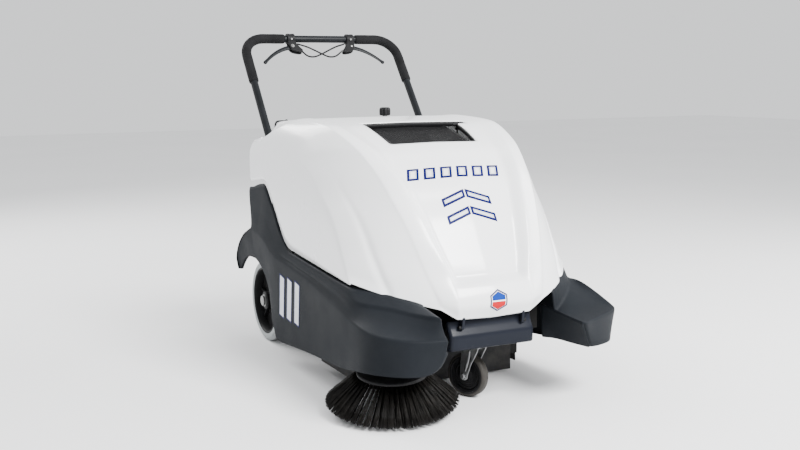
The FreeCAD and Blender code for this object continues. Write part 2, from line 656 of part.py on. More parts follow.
def caster():
    """The caster's fork, wheel and tyre, turned to trail as it does when pushed ahead."""
    hub_y = CASTER_Y + CASTER_TRAIL
    half = CASTER_WIDTH / 2
    leg = prism_yz([
        (CASTER_Y - 28, CASTER_TOP), (CASTER_Y + 28, CASTER_TOP), (hub_y + 14, CASTER_R + 6),
        (hub_y + 8, CASTER_R - 12), (hub_y - 8, CASTER_R - 12), (hub_y - 14, CASTER_R + 2),
    ], half + 3, half + 7)
    crown = box(-half - 7, half + 7, CASTER_Y - 28, CASTER_Y + 28, CASTER_TOP - 4, CASTER_TOP)
    race = cylinder(27, V(0, CASTER_Y, CASTER_TOP - 1), V(0, CASTER_Y, CASTER_TOP + 7.5))
    bolt = across(5, -half - 12, half + 12, hub_y, CASTER_R)
    bolt_head = across(9, half + 7, half + 13, hub_y, CASTER_R)
    bore = cylinder(7 + RUN_GAP, V(0, CASTER_Y, 100), V(0, CASTER_Y, CASTER_TOP + 10))
    fork = fuse([leg, mirrored(leg), crown, race, bolt, bolt_head, mirrored(bolt_head)]).cut(bore)
    middle = V(0, hub_y, CASTER_R)
    tyre = revolve(wheel_profile(44, CASTER_R, half, 5), middle, X_AXIS)
    hub_bore = 5 + RUN_GAP
    hub = revolve([
        (hub_bore, -half - 2), (18, -half - 2), (18, -half + 6), (44, -half + 8), (44, half - 8),
        (18, half - 6), (18, half + 2), (hub_bore, half + 2),
    ], middle, X_AXIS)
    nodes = {"caster_fork": fork, "caster_tyre": tyre, "caster_hub": hub}
    for shape in nodes.values():
        shape.rotate(V(0, CASTER_Y, 0), Z_AXIS, CASTER_TURN)
        shape.translate(V(CASTER_X, 0, 0))
    return nodes


# Handle and controls

def handle_line(x, z):
    """The point of the handle's side tube at height z."""
    slope = (BAR_Y - FOAM_END.y) / (BAR_Z - FOAM_END.z)
    return V(x, BAR_Y + slope * (z - BAR_Z), z)


def handlebar():
    points = [
        handle_line(-BAR_HALF, 622), V(-BAR_HALF, BAR_Y, BAR_Z), V(BAR_HALF, BAR_Y, BAR_Z),
        handle_line(BAR_HALF, 622),
    ]
    outer = tube(points, [BAR_BEND] * 2, BAR_R).cut(tube(points, [BAR_BEND] * 2, BAR_R - 2))
    bores = [across(6 + RUN_GAP, side * 270, side * 306, HANDLE_PIVOT.y, HANDLE_PIVOT.z) for side in (1, -1)]
    return cut(outer, bores)


def grip():
    points = [V(-CLAMP_X - 22, BAR_Y, BAR_Z), V(-BAR_HALF, BAR_Y, BAR_Z), handle_line(-BAR_HALF, FOAM_END.z)]
    return tube(points, [BAR_BEND], FOAM_R).cut(tube(points, [BAR_BEND], BAR_R))


def lever_frame():
    """The right lever's pivot, its axis and the direction from the bar to the lever."""
    away = V(0, LEVER_TIP.y - BAR_Y, LEVER_TIP.z - BAR_Z).normalize()
    pivot = V(-CLAMP_X, BAR_Y, BAR_Z) + away * LEVER_DROP
    return pivot, X_AXIS.cross(away), away


def lever_clamp():
    pivot, axis, away = lever_frame()
    band = ring(CLAMP_R, BAR_R, V(-CLAMP_X - 13, BAR_Y, BAR_Z), V(-CLAMP_X + 13, BAR_Y, BAR_Z))
    cheeks = []
    for side in (1, -1):
        base = pivot + axis * (side * 4.3)
        plate = cylinder(11, base, base + axis * (side * 3.7))
        root = V(-CLAMP_X, BAR_Y, BAR_Z) + away * 17 + axis * (side * 4.3)
        web = prism([root - X_AXIS * 11, root + X_AXIS * 11, base + X_AXIS * 11, base - X_AXIS * 11],
                    axis * (side * 3.7))
        cheeks += [plate, web]
    bolt = cylinder(3, pivot - axis * 9, pivot + axis * 9)
    root = V(-CLAMP_X + 11, BAR_Y, BAR_Z) + away * 26
    barrel = cylinder(4.5, root, root + X_AXIS * 24 + away * 14)
    return fuse([band, bolt, barrel] + cheeks)


def lever():
    """A flat curved blade, from the eye round the pivot bolt to a round end."""
    pivot, axis, away = lever_frame()
    tip = V(-LEVER_TIP.x, LEVER_TIP.y, LEVER_TIP.z)
    reach = tip - pivot
    knee = V(-56, 6, 0)
    end = V(reach.dot(X_AXIS), reach.dot(away), 0)
    inner_edge, outer_edge = [], []
    for i in range(LEVER_STEPS + 1):
        t = i / LEVER_STEPS
        spot = knee * (2 * t * (1 - t)) + end * t ** 2
        ahead = (knee * (1 - t) + (end - knee) * t).normalize()
        half_width = 6.5 - 2.5 * t
        inner_edge.append(spot + V(-ahead.y, ahead.x, 0) * half_width)
        outer_edge.append(spot - V(-ahead.y, ahead.x, 0) * half_width)
    outline = [pivot + X_AXIS * p.x + away * p.y - axis * 4 for p in inner_edge + outer_edge[::-1]]
    blade = prism(outline, axis * 8)
    eye = cylinder(9, pivot - axis * 4, pivot + axis * 4)
    round_end = cylinder(7, tip - axis * 4, tip + axis * 4)
    return fuse([eye, blade, round_end]).cut(cylinder(3 + RUN_GAP, pivot - axis * 9, pivot + axis * 9))


def control_cables():
    """Two inner cables that cross under the bar, each from one lever's adjuster to the other clamp."""
    cables = []
    for side, y in ((1, 632), (-1, 640)):
        points = [
            V(side * -78, y, 977), V(side * -56, y, 961), V(side * -30, y, 958), V(side * -2, y, 968),
            V(side * 26, y + 2, 981), V(side * 54, y + 6, 993), V(side * 84, y + 10, 1001),
        ]
        bends = cord_bends(points)
        print("control cable bends, mm:", [round(b, 1) for b in bends])
        cables.append(tube(points, bends, 2.4))
    return Part.makeCompound(cables)


def throttle_lever():
    pivot = V(-253, 430, 700)
    eye = ring(9, 4 + RUN_GAP, pivot - X_AXIS * 6, pivot + X_AXIS * 6)
    rod = tube([pivot + V(0, 2, 7), V(-253, 437, 742), V(-212, 437, 742)], [10], 3.5)
    return fuse([eye, rod, Part.makeSphere(6, V(-212, 437, 742))])


def shaker_knob():
    stem = cylinder(5, V(108, 345, 640), V(108, 345, 757))
    knob = cylinder(19, V(108, 345, 756), V(108, 345, 784))
    flats = []
    for i in range(8):
        angle = math.radians(45 * i)
        centre = V(108 + 23 * math.cos(angle), 345 + 23 * math.sin(angle), 750)
        flats.append(cylinder(7, centre, centre + V(0, 0, 40)))
    return fuse([cut(knob, flats), stem])


# Hopper

def hopper_bin():
    outer = box(-HOPPER_HALF, HOPPER_HALF, HOPPER_FRONT, HOPPER_REAR, HOPPER_Z0, HOPPER_Z1)
    inner = box(-HOPPER_HALF + WALL, HOPPER_HALF - WALL, HOPPER_FRONT + WALL, HOPPER_REAR - WALL,
                HOPPER_Z0 + WALL, HOPPER_Z1 + 1)
    mouth = box(-HOPPER_HALF + 20, HOPPER_HALF - 20, HOPPER_FRONT - 1, HOPPER_FRONT + 10, 190, HOPPER_Z1 + 1)
    flange = box(HOPPER_HALF, 200, HOPPER_FRONT + 20, 530, HOPPER_Z1 - 6, HOPPER_Z1)
    handle = box(-70, 70, HOPPER_REAR, HOPPER_REAR + 22, 262, 290)
    finger_room = box(-62, 62, HOPPER_REAR - 1, HOPPER_REAR + 16, 255, 284)
    return fuse([cut(outer, [inner, mouth]), handle.cut(finger_room)] + both_sides(flange))


def hopper_rails():
    shelf = box(HOPPER_HALF + 2, RAIL_IN + 4, HOPPER_FRONT + 20, 395, HOPPER_Z1 - 11, HOPPER_Z1 - 6.4)
    web = box(RAIL_IN - 5, RAIL_IN + 4, HOPPER_FRONT + 20, 395, HOPPER_Z1 - 7, RAIL_Z0)
    return Part.makeCompound(both_sides(fuse([shelf, web])))


def hopper_latch():
    pivot = V(110, RAIL_REAR, 348)
    hub = cylinder(13, pivot + V(0, 0.3, 0), pivot + V(0, 10, 0))
    arm = box(100, 120, RAIL_REAR + 1, RAIL_REAR + 9, 321, 350)
    return fuse([hub, arm])


# Hood

def hood_points(rib, thickness):
    """One rib of the hood's outer skin, or of the inner skin that lies a wall's thickness inside."""
    bottom, arch, shoulder, panel, crown = rib
    steep = thickness if crown[1] < 700 else 0
    side = HOOD_HALF - thickness
    half = [
        V(side, bottom[0], bottom[1]),
        V(side, arch[0] + steep / 2, arch[1] - thickness / 2),
        V(shoulder[0] - thickness / 2, shoulder[1] + steep, shoulder[2] - thickness),
        V(panel[0], panel[1] + steep, panel[2] - thickness),
    ]
    centre = V(0, crown[0] + steep, crown[1] - thickness)
    return [V(-p.x, p.y, p.z) for p in half] + [centre] + half[::-1]


def triangles(grid_a, grid_b):
    """Two triangles for each cell between two rows of points."""
    faces = []
    for a0, a1, b0, b1 in zip(grid_a, grid_a[1:], grid_b, grid_b[1:]):
        for corners in ((a0, a1, b0), (a1, b1, b0)):
            faces.append(Part.Face(Part.makePolygon([*corners, corners[0]])))
    return faces


def hood_shell():
    outer = [hood_points(rib, 0) for rib in HOOD_RIBS]
    inner = [hood_points(rib, WALL) for rib in HOOD_RIBS]
    faces = []
    for grid in (outer, inner):
        for row_a, row_b in zip(grid, grid[1:]):
            faces += triangles(row_a, row_b)
    faces += triangles(outer[0], inner[0])
    faces += triangles(outer[-1], inner[-1])
    for edge in (0, -1):
        faces += triangles([row[edge] for row in outer], [row[edge] for row in inner])
    shell = Part.makeShell(faces)
    shell.sewShape()
    hood = Part.makeSolid(Part.Shell(shell.Faces))
    if hood.Volume < 0:
        hood.reverse()
    opening = [(-138, INTAKE_FRONT), (138, INTAKE_FRONT), (147, INTAKE_REAR), (-147, INTAKE_REAR)]
    intake = prism_xy(opening, 600, 800)
    grip_notch = box(130, 196, -84, INTAKE_REAR, 600, 800)
    return cut(hood, [intake, grip_notch])


def intake_grille():
    """A dished mesh under the intake opening, with its rim against the hood's inside."""
    slope = (740 - 697) / (INTAKE_REAR - INTAKE_FRONT)

    def height(y):
        return 697 + slope * (y - INTAKE_FRONT) - 12

    def slab(x0, x1, y0, y1):
        z0, z1 = height(y0), height(y1)
        return prism_yz([(y0, z0), (y1, z1), (y1, z1 + GRILLE_THICK), (y0, z0 + GRILLE_THICK)], x0, x1)

    bars = [slab(x, x + 1.6, INTAKE_FRONT + 2, INTAKE_REAR + 8) for x in range(-126, 130, 6)]
    cross = [slab(-128, 130, y, y + 3) for y in (-204, -164, -122, -80, -42)]
    return fuse(bars + cross)


def hood_hinge():
    """Two arms from the hood's nose down to the hinge pins."""
    arm = prism_yz([
        (HOOD_HINGE_Y - 7, HOOD_HINGE_Z), (HOOD_HINGE_Y + 7, HOOD_HINGE_Z), (HOOD_HINGE_Y + 8, 262),
        (HOOD_HINGE_Y + 22, 300), (HOOD_HINGE_Y + 4, 306), (HOOD_HINGE_Y - 12, 276), (HOOD_HINGE_Y - 9, 252),
    ], 89, 97)
    eye = across(8, 89, 97, HOOD_HINGE_Y, HOOD_HINGE_Z)
    bore = across(4 + RUN_GAP, 80, 110, HOOD_HINGE_Y, HOOD_HINGE_Z)
    return Part.makeCompound(both_sides(fuse([arm, eye]).cut(bore)))


def frame_bolts():
    """Hexagon bolts that hold the engine plate and the caster plate."""
    heads = []
    for x in (-RAIL_OUT + 14, RAIL_OUT - 14):
        for y in (-150, 20, 250):
            heads.append(Part.makeCylinder(9, 6, V(x, y, RAIL_Z1 + SHEET)))
    for x in (-68, 68):
        for y in (CRANK_Y - 60, CRANK_Y + 60):
            heads.append(Part.makeCylinder(7, 8, V(x, y, RAIL_Z1 + SHEET)))
    return Part.makeCompound(heads)


def all_nodes():
    nodes = {
        "chassis_frame": chassis_frame(),
        "front_bumper": front_bumper(),
        "rear_panel": rear_panel(),
        "brush_tunnel": brush_tunnel(),
        "engine_plate": engine_plate(),
        "handle_brackets": handle_brackets(),
        "caster_plate": caster_plate(),
        "engine_block": engine_block(),
        "engine_shroud": engine_shroud(),
        "crank_pulleys": crank(),
        "fuel_tank": fuel_tank(),
        "fuel_cap": fuel_cap(),
        "muffler": muffler(),
        "air_cleaner": air_cleaner(),
        "fan_housing": fan_housing(),
        "fan_impeller": fan_impeller(),
        "panel_filter": panel_filter(),
        "gearbox": gearbox(),
        "gearbox_pinion": gearbox_pinion(),
        "starter_grip": starter_grip(),
        "starter_guide": starter_guide(),
        "side_brush_arm": side_brush_arm(),
        "bearings": bearings(),
        "handlebar": handlebar(),
        "grip_right": grip(),
        "grip_left": mirrored(grip()),
        "lever_clamp_right": lever_clamp(),
        "lever_clamp_left": mirrored(lever_clamp()),
        "lever_right": lever(),
        "lever_left": mirrored(lever()),
        "control_cables": control_cables(),
        "throttle_lever": throttle_lever(),
        "shaker_knob": shaker_knob(),
        "hopper_bin": hopper_bin(),
        "hopper_rails": hopper_rails(),
        "hopper_latch": hopper_latch(),
        "hood_shell": hood_shell(),
        "intake_grille": intake_grille(),
        "hood_hinge": hood_hinge(),
        "frame_bolts": frame_bolts(),
    }
    for group in (fairings(), flaps(), belts(), main_brush(), side_brush(), rear_wheels(), caster()):
        nodes.update(group)
    return nodes


def frame_shift():
    """Moves the middle of the whole machine's box over the row frame's origin."""
    right_reach = -SIDE_BRUSH_X + SIDE_BRUSH_R * math.sqrt(1 - side_axis().x ** 2)
    rear_reach = BAR_Y + CLAMP_R
    return V((right_reach - FENDER_OUTER) / 2, -(rear_reach + FENDER_FRONT) / 2, 0)


os.makedirs("parts", exist_ok=True)
for name, shape in all_nodes().items():
    shape.translate(frame_shift())
    shape.exportStep(f"parts/{name}.step")
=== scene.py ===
"""The looks of a walk behind sweeper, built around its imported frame.

Lengths are in millimetres from the machine's middle plane, +Y towards the operator and +Z up from the
floor, and at() turns them into the row frame's metres. Right and left are the operator's: right is -X.
"""
import json
import math
import random

import bmesh
import bpy
import numpy as np
from mathutils import Matrix, Vector
from mathutils.bvhtree import BVHTree


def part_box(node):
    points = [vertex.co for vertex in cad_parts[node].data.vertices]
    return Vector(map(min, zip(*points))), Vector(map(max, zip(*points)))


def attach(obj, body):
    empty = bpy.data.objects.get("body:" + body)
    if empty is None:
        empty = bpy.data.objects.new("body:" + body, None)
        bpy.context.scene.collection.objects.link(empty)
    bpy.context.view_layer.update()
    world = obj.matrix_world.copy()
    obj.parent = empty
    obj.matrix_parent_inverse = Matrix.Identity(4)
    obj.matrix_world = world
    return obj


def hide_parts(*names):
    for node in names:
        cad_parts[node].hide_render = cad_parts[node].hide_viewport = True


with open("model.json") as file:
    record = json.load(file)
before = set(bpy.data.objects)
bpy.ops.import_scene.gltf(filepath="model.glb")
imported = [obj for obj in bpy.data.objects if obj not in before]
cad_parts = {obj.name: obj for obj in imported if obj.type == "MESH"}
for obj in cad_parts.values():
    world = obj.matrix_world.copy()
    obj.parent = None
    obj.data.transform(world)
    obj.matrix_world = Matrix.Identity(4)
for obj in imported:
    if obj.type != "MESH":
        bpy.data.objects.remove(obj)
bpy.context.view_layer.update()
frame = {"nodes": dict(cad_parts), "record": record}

MM = 0.001
BUMPER_FRONT = -546.0
bumper_low, bumper_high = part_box("front_bumper")
MIDDLE_X = (bumper_low.x + bumper_high.x) / 2
SHIFT_Y = bumper_low.y - BUMPER_FRONT * MM
RANDOM = random.Random(7)
RIGHT, LEFT = -1, 1
WORD = {RIGHT: "right", LEFT: "left"}


def at(point):
    return Vector((MIDDLE_X + point[0] * MM, SHIFT_Y + point[1] * MM, point[2] * MM))


# Materials

def add(tree, kind, sockets=None, **settings):
    """A node with its settings, and its sockets set to numbers or joined to other nodes' outputs."""
    node = tree.nodes.new("ShaderNode" + kind)
    for key, value in settings.items():
        setattr(node, key, value)
    for key, value in (sockets or {}).items():
        if isinstance(value, bpy.types.NodeSocket):
            tree.links.new(value, node.inputs[key])
        else:
            node.inputs[key].default_value = value
    return node


def new_material(name, metallic=0.0, coat=0.0, coat_rough=0.1, specular=0.5):
    material = bpy.data.materials.new(name)
    material.use_nodes = True
    tree = material.node_tree
    shader = tree.nodes["Principled BSDF"]
    values = {"Metallic": metallic, "Coat Weight": coat, "Coat Roughness": coat_rough,
              "Specular IOR Level": specular}
    for key, value in values.items():
        shader.inputs[key].default_value = value
    place = tree.nodes.new("ShaderNodeTexCoord").outputs["Object"]
    return material, tree, shader, place


def noise(tree, place, scale, detail=4.0):
    node = add(tree, "TexNoise", {"Vector": place, "Scale": scale, "Detail": detail, "Roughness": 0.55})
    return node.outputs["Fac"]


def stretched(tree, place, scale):
    return add(tree, "Mapping", {"Vector": place, "Scale": scale}).outputs["Vector"]


def span(tree, value, low, high, start=0.3, end=0.7):
    """A value between start and end, spread to run from low to high."""
    sockets = {"Value": value, "From Min": start, "From Max": end, "To Min": low, "To Max": high}
    return add(tree, "MapRange", sockets).outputs["Result"]


def blend_colours(tree, amount, first, second):
    node = add(tree, "Mix", data_type="RGBA")
    tree.links.new(amount, node.inputs[0])
    for socket, value in ((node.inputs[6], first), (node.inputs[7], second)):
        if isinstance(value, bpy.types.NodeSocket):
            tree.links.new(value, socket)
        else:
            socket.default_value = (*value, 1.0)
    return node.outputs[2]


def mottled(tree, amount, first, second):
    return blend_colours(tree, span(tree, amount, 0.0, 1.0), first, second)


def complete(tree, shader, colour, roughness, height, depth):
    """Joins the colour, the roughness and a raised grain to a material's shader."""
    grain = add(tree, "Bump", {"Height": height, "Distance": depth, "Strength": 1.0})
    joined = {"Base Color": colour, "Roughness": roughness, "Normal": grain.outputs["Normal"]}
    for key, output in joined.items():
        tree.links.new(output, shader.inputs[key])


def finish(name, tint, shade, rough, patch=7.0, grain=900.0, depth=0.00008, speck=0.0, **shader_values):
    """Paint or moulded plastic: clouded colour, uneven gloss, fine grain and, with speck, lighter grains."""
    material, tree, shader, place = new_material(name, **shader_values)
    cloud = noise(tree, place, patch)
    fine = noise(tree, place, grain, detail=2.0)
    colour = mottled(tree, cloud, tint, shade)
    if speck:
        grains = span(tree, noise(tree, place, grain * 1.7, detail=1.0), 0.0, speck, 0.52, 0.75)
        colour = blend_colours(tree, grains, colour, (0.35, 0.37, 0.4))
    complete(tree, shader, colour, span(tree, cloud, *rough), fine, depth)
    return material


def brushed(name, tint, shade, rough, patch, depth):
    """Bare or plated metal, with fine drawn lines and stains."""
    material, tree, shader, place = new_material(name, metallic=1.0)
    lines = noise(tree, stretched(tree, place, (1, 1, 30)), 60.0, detail=6.0)
    cloud = noise(tree, place, patch)
    complete(tree, shader, mottled(tree, cloud, tint, shade), span(tree, lines, *rough), lines, depth)
    return material


def foam():
    material, tree, shader, place = new_material("foam_black", specular=0.08)
    cells = add(tree, "TexVoronoi", {"Vector": place, "Scale": 900.0}).outputs["Distance"]
    cloud = noise(tree, place, 22.0)
    colour = mottled(tree, cloud, (0.008, 0.008, 0.0085), (0.013, 0.013, 0.014))
    complete(tree, shader, colour, span(tree, cells, 0.95, 0.75, 0.0, 0.6), cells, 0.0005)
    return material


def nylon(name, root, tip):
    """Brush filament: each strand a little lighter or darker, and dusty in patches."""
    material, tree, shader, place = new_material(name, specular=0.12)
    strand = noise(tree, place, 260.0, detail=2.0)
    dust = noise(tree, place, 30.0)
    colour = mottled(tree, strand, root, tip)
    colour = blend_colours(tree, span(tree, dust, 0.0, 0.12, 0.45, 0.8), colour, (0.1, 0.09, 0.078))
    complete(tree, shader, colour, span(tree, dust, 0.28, 0.5), strand, 0.0001)
    return material


def rubber(name, tint, dusty, rough, dust_scale):
    """Scuffed rubber with dust in patches."""
    material, tree, shader, place = new_material(name, specular=0.35)
    dust = noise(tree, place, dust_scale, detail=7.0)
    scuff = noise(tree, place, 420.0, detail=3.0)
    colour = blend_colours(tree, span(tree, dust, 0.0, 0.8, 0.42, 0.75), tint, dusty)
    complete(tree, shader, colour, span(tree, scuff, *rough), scuff, 0.0003)
    return material


def pleated_paper():
    material, tree, shader, place = new_material("filter_paper", specular=0.2)
    fibres = noise(tree, stretched(tree, place, (1, 8, 8)), 160.0, detail=8.0)
    dust = noise(tree, place, 14.0)
    colour = mottled(tree, fibres, (0.62, 0.55, 0.4), (0.72, 0.67, 0.54))
    colour = blend_colours(tree, span(tree, dust, 0.0, 0.5, 0.4, 0.8), colour, (0.3, 0.27, 0.22))
    complete(tree, shader, colour, span(tree, dust, 0.8, 0.95), fibres, 0.0002)
    return material


# Two colours, the roughness from and to, and what differs from a plain finish.
FINISHES = {
    "hood_white": ((0.93, 0.935, 0.945), (0.905, 0.912, 0.925), (0.2, 0.3),
                   {"patch": 3.0, "grain": 420.0, "depth": 0.00003, "coat": 0.35, "coat_rough": 0.12}),
    "fairing_grey": ((0.0078, 0.0092, 0.0115), (0.0105, 0.0122, 0.015), (0.46, 0.58),
                     {"patch": 9.0, "grain": 1500.0, "depth": 0.0003, "speck": 0.03, "specular": 0.05}),
    "bumper_paint": ((0.0095, 0.011, 0.0165), (0.0075, 0.009, 0.0135), (0.28, 0.4),
                     {"grain": 260.0, "depth": 0.00003, "coat": 0.03, "coat_rough": 0.15, "specular": 0.08}),
    "frame_black": ((0.006, 0.006, 0.0065), (0.012, 0.0115, 0.011), (0.45, 0.62),
                    {"patch": 14.0, "grain": 700.0, "depth": 0.0001, "specular": 0.14}),
    "tube_black": ((0.006, 0.007, 0.008), (0.009, 0.01, 0.012), (0.34, 0.46),
                   {"patch": 20.0, "grain": 600.0, "depth": 0.00002, "specular": 0.14}),
    "plastic_black": ((0.006, 0.006, 0.0065), (0.011, 0.011, 0.012), (0.42, 0.56),
                      {"patch": 30.0, "grain": 1300.0, "depth": 0.00006, "specular": 0.14}),
    "engine_alloy": ((0.42, 0.42, 0.41), (0.3, 0.3, 0.29), (0.4, 0.6),
                     {"patch": 16.0, "grain": 500.0, "depth": 0.0004, "metallic": 1.0}),
    "engine_iron": ((0.05, 0.048, 0.046), (0.12, 0.075, 0.05), (0.55, 0.8),
                    {"patch": 20.0, "grain": 450.0, "depth": 0.0004, "metallic": 0.6}),
    "cable_black": ((0.006, 0.006, 0.007), (0.01, 0.01, 0.01), (0.4, 0.55),
                    {"grain": 800.0, "specular": 0.14}),
    "cap_red": ((0.45, 0.02, 0.015), (0.33, 0.015, 0.012), (0.3, 0.45), {"patch": 40.0}),
    "print_navy": ((0.003, 0.005, 0.075), (0.002, 0.004, 0.06), (0.3, 0.4),
                   {"grain": 300.0, "depth": 0.00001, "specular": 0.06}),
    "print_pale": ((0.62, 0.64, 0.7), (0.55, 0.57, 0.63), (0.25, 0.35), {"grain": 300.0, "depth": 0.00001}),
    "badge_red": ((0.5, 0.008, 0.016), (0.42, 0.006, 0.012), (0.2, 0.3),
                  {"grain": 300.0, "depth": 0.00001, "specular": 0.1}),
    "badge_blue": ((0.008, 0.04, 0.26), (0.006, 0.032, 0.2), (0.2, 0.3),
                   {"grain": 300.0, "depth": 0.00001, "specular": 0.1}),
}
# Two colours and the roughness from and to; then the scale of a metal's stains and the depth of its
# drawn lines, or the scale of the dust on a rubber. A nylon has a colour at its root and one at its tip.
METALS = {
    "steel": ((0.3, 0.3, 0.295), (0.19, 0.19, 0.19), (0.28, 0.5), 18.0, 0.00003),
    "chrome": ((0.36, 0.365, 0.37), (0.22, 0.225, 0.23), (0.36, 0.55), 40.0, 0.00001),
}
RUBBERS = {
    "rubber_black": ((0.01, 0.01, 0.011), (0.045, 0.042, 0.038), (0.6, 0.8), 25.0),
    "tyre_grey": ((0.34, 0.36, 0.365), (0.24, 0.25, 0.25), (0.55, 0.75), 25.0),
    "caster_tread": ((0.03, 0.027, 0.023), (0.016, 0.0145, 0.012), (0.5, 0.75), 45.0),
}
NYLONS = {
    "bristle_black": ((0.0022, 0.002, 0.0018), (0.011, 0.01, 0.009)),
    "bristle_main": ((0.02, 0.02, 0.022), (0.06, 0.06, 0.065)),
}


def make_materials():
    paints = {name: finish(name, *colours, **more) for name, (*colours, more) in FINISHES.items()}
    for make, table in ((brushed, METALS), (rubber, RUBBERS), (nylon, NYLONS)):
        paints.update((name, make(name, *row)) for name, row in table.items())
    paints["foam_black"] = foam()
    paints["filter_paper"] = pleated_paper()
    return paints


PAINT = make_materials()


# Mesh helpers

def link(obj, paint, body, replaces=()):
    """Puts a piece in the scene with its paint, on its body and in place of CAD nodes."""
    bpy.context.scene.collection.objects.link(obj)
    obj.data.materials.append(PAINT[paint])
    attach(obj, body)
    if replaces:
        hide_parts(*replaces)
    return obj


def piece(name, points, faces, paint, body, replaces=(), sharp=40.0):
    """A mesh of points in millimetres, shaded smooth but for edges sharper than sharp degrees."""
    mesh = bpy.data.meshes.new(name)
    mesh.from_pydata([at(p) for p in points], [], faces)
    work = bmesh.new()
    work.from_mesh(mesh)
    bmesh.ops.remove_doubles(work, verts=work.verts, dist=1e-6)
    bmesh.ops.recalc_face_normals(work, faces=work.faces)
    work.to_mesh(mesh)
    work.free()
    mesh.polygons.foreach_set("use_smooth", [True] * len(mesh.polygons))
    mesh.set_sharp_from_angle(angle=math.radians(sharp))
    return link(bpy.data.objects.new(name, mesh), paint, body, replaces)


def modifier(obj, kind, **settings):
    added = obj.modifiers.new(kind.lower(), kind)
    for key, value in settings.items():
        setattr(added, key, value)
    return added


def smoothed(obj, levels=1):
    modifier(obj, "SUBSURF", levels=levels, render_levels=levels)
    return obj


def bevelled(obj, width, segments=2, angle=35.0):
    modifier(obj, "BEVEL", width=width * MM, segments=segments, limit_method="ANGLE",
             angle_limit=math.radians(angle), harden_normals=False)
    return obj


def cells(rows, columns, first=0, ring=False):
    """The quads between rows of columns points each, and round to the first column if ring."""
    faces = []
    for row in range(rows - 1):
        for column in range(columns if ring else columns - 1):
            a = first + row * columns + column
            b = first + row * columns + (column + 1) % columns
            faces.append((a, b, b + columns, a + columns))
    return faces


def through(knots, steps):
    """A smooth curve through the knots, with steps points for each span, as an array."""
    knots = np.array(knots, float)
    padded = np.vstack([2 * knots[0] - knots[1], knots, 2 * knots[-1] - knots[-2]])
    out = []
    for i in range(len(knots) - 1):
        p0, p1, p2, p3 = padded[i:i + 4]
        for step in range(steps):
            t = step / steps
            out.append(0.5 * (2 * p1 + (p2 - p0) * t + (2 * p0 - 5 * p1 + 4 * p2 - p3) * t ** 2
                              + (3 * p1 - p0 - 3 * p2 + p3) * t ** 3))
    out.append(knots[-1])
    return np.array(out)


def step_up(value, start, end):
    """0 before start, 1 after end, and a smooth rise between."""
    t = np.clip((value - start) / (end - start), 0.0, 1.0)
    return t * t * (3 - 2 * t)


# Hood

HOOD_HALF = 341.0
HOOD_WALL = 4.0
HOOD_HEART = np.array([0.0, 60.0, 330.0])
HOOD_STEPS = 8
# Cross ribs from the nose to the rear: bottom edge and side arch (y, z), shoulder and panel edge (x, y, z)
# and crown (y, z).
HOOD_RIBS = (
    ((-371, 339), (-371, 345), (159, -544, 286), (112, -548, 256), (-542, 250)),
    ((-340, 341), (-352, 364), (163, -536, 310), (114, -562, 302), (-566, 300)),
    ((-310, 343), (-336, 386), (178, -510, 363), (118, -529, 363), (-537, 364)),
    ((-270, 346), (-308, 424), (191, -484, 413), (133, -507, 413), (-515, 414)),
    ((-220, 349), (-276, 470), (201, -458, 463), (148, -476, 463), (-485, 466)),
    ((-160, 353), (-230, 518), (213, -426, 513), (161, -445, 513), (-455, 517)),
    ((-95, 358), (-165, 561), (226, -388, 563), (174, -407, 563), (-418, 567)),
    ((-30, 362), (-95, 609), (238, -341, 614), (188, -366, 614), (-376, 619)),
    ((40, 367), (-20, 638), (252, -280, 664), (208, -298, 664), (-305, 669)),
    ((92, 372), (45, 654), (264, -220, 699), (218, -240, 697), (-245, 702)),
    ((140, 397), (150, 667), (278, -118, 737), (236, -125, 737), (-128, 741)),
    ((200, 462), (250, 669), (284, -36, 751), (241, -36, 753), (-36, 757)),
    ((260, 527), (330, 666), (286, 120, 757), (241, 120, 761), (120, 763)),
    ((309, 560), (370, 663), (288, 220, 752), (241, 225, 756), (230, 758)),
    ((446, 547), (446, 650), (290, 300, 746), (241, 308, 750), (312, 751)),
)
# How deep the middle panel is sunk at each rib, and over which columns past the strip it drops.
PANEL_SINK = (0, 0, 22, 24, 24, 23, 22, 20, 17, 13, 8, 4, 1.5, 0, 0)
PANEL_DROP = (0.4, 1.9)
# The ribs, counted from the nose, between which each shape comes in or fades.
LEDGE_IN, LEDGE_RIB = (1.62, 2.15), 2.2
LOW_RISE_OUT, HIGH_RISE_IN, HIGH_RISE_OUT = (0, 9), (3, 9), (12.0, 14)
REAR_STEP_IN, VALLEY_OUT, STRIP_IN, STRIP_OUT = (12.2, 14), (2.0, 7.5), (0.2, 1.2), (12.0, 13.0)
VALLEY_DRIFT, DRIFT_RIBS = 0.012, 9
BAND_LOW_RISE, BAND_HIGH_RISE = 22, 16
VALLEY_SHARE, VALLEY_WIDTH, VALLEY_DEPTH = 0.36, 0.045, 7
STRIP_EDGE = 3.0
# The opening: its rows, the columns left beside it, and the notch at its rear left corner for the starter.
INTAKE_ROWS = (74, 88)
INTAKE_MARGIN = 5
NOTCH_ROWS, NOTCH_COLUMNS = 3, 2
COLLAR_DROPS = (2.5, 9.0, 17.0)
COLLAR_WALL = 1.6
# The step in the hood's side where it ends at the rear, as shifts from the arch to the shoulder.
REAR_STEP = ((-3, 0, 8), (0, 20, 8), (14, 0, -6), (13, -8, -22), (4, -4, -10), (0, 0, 0))
SIDE_COLUMNS, BAND_COLUMNS, STRIP_COLUMNS, PANEL_COLUMNS = 6, 22, 6, 14
STRIP_RISE = 2.6


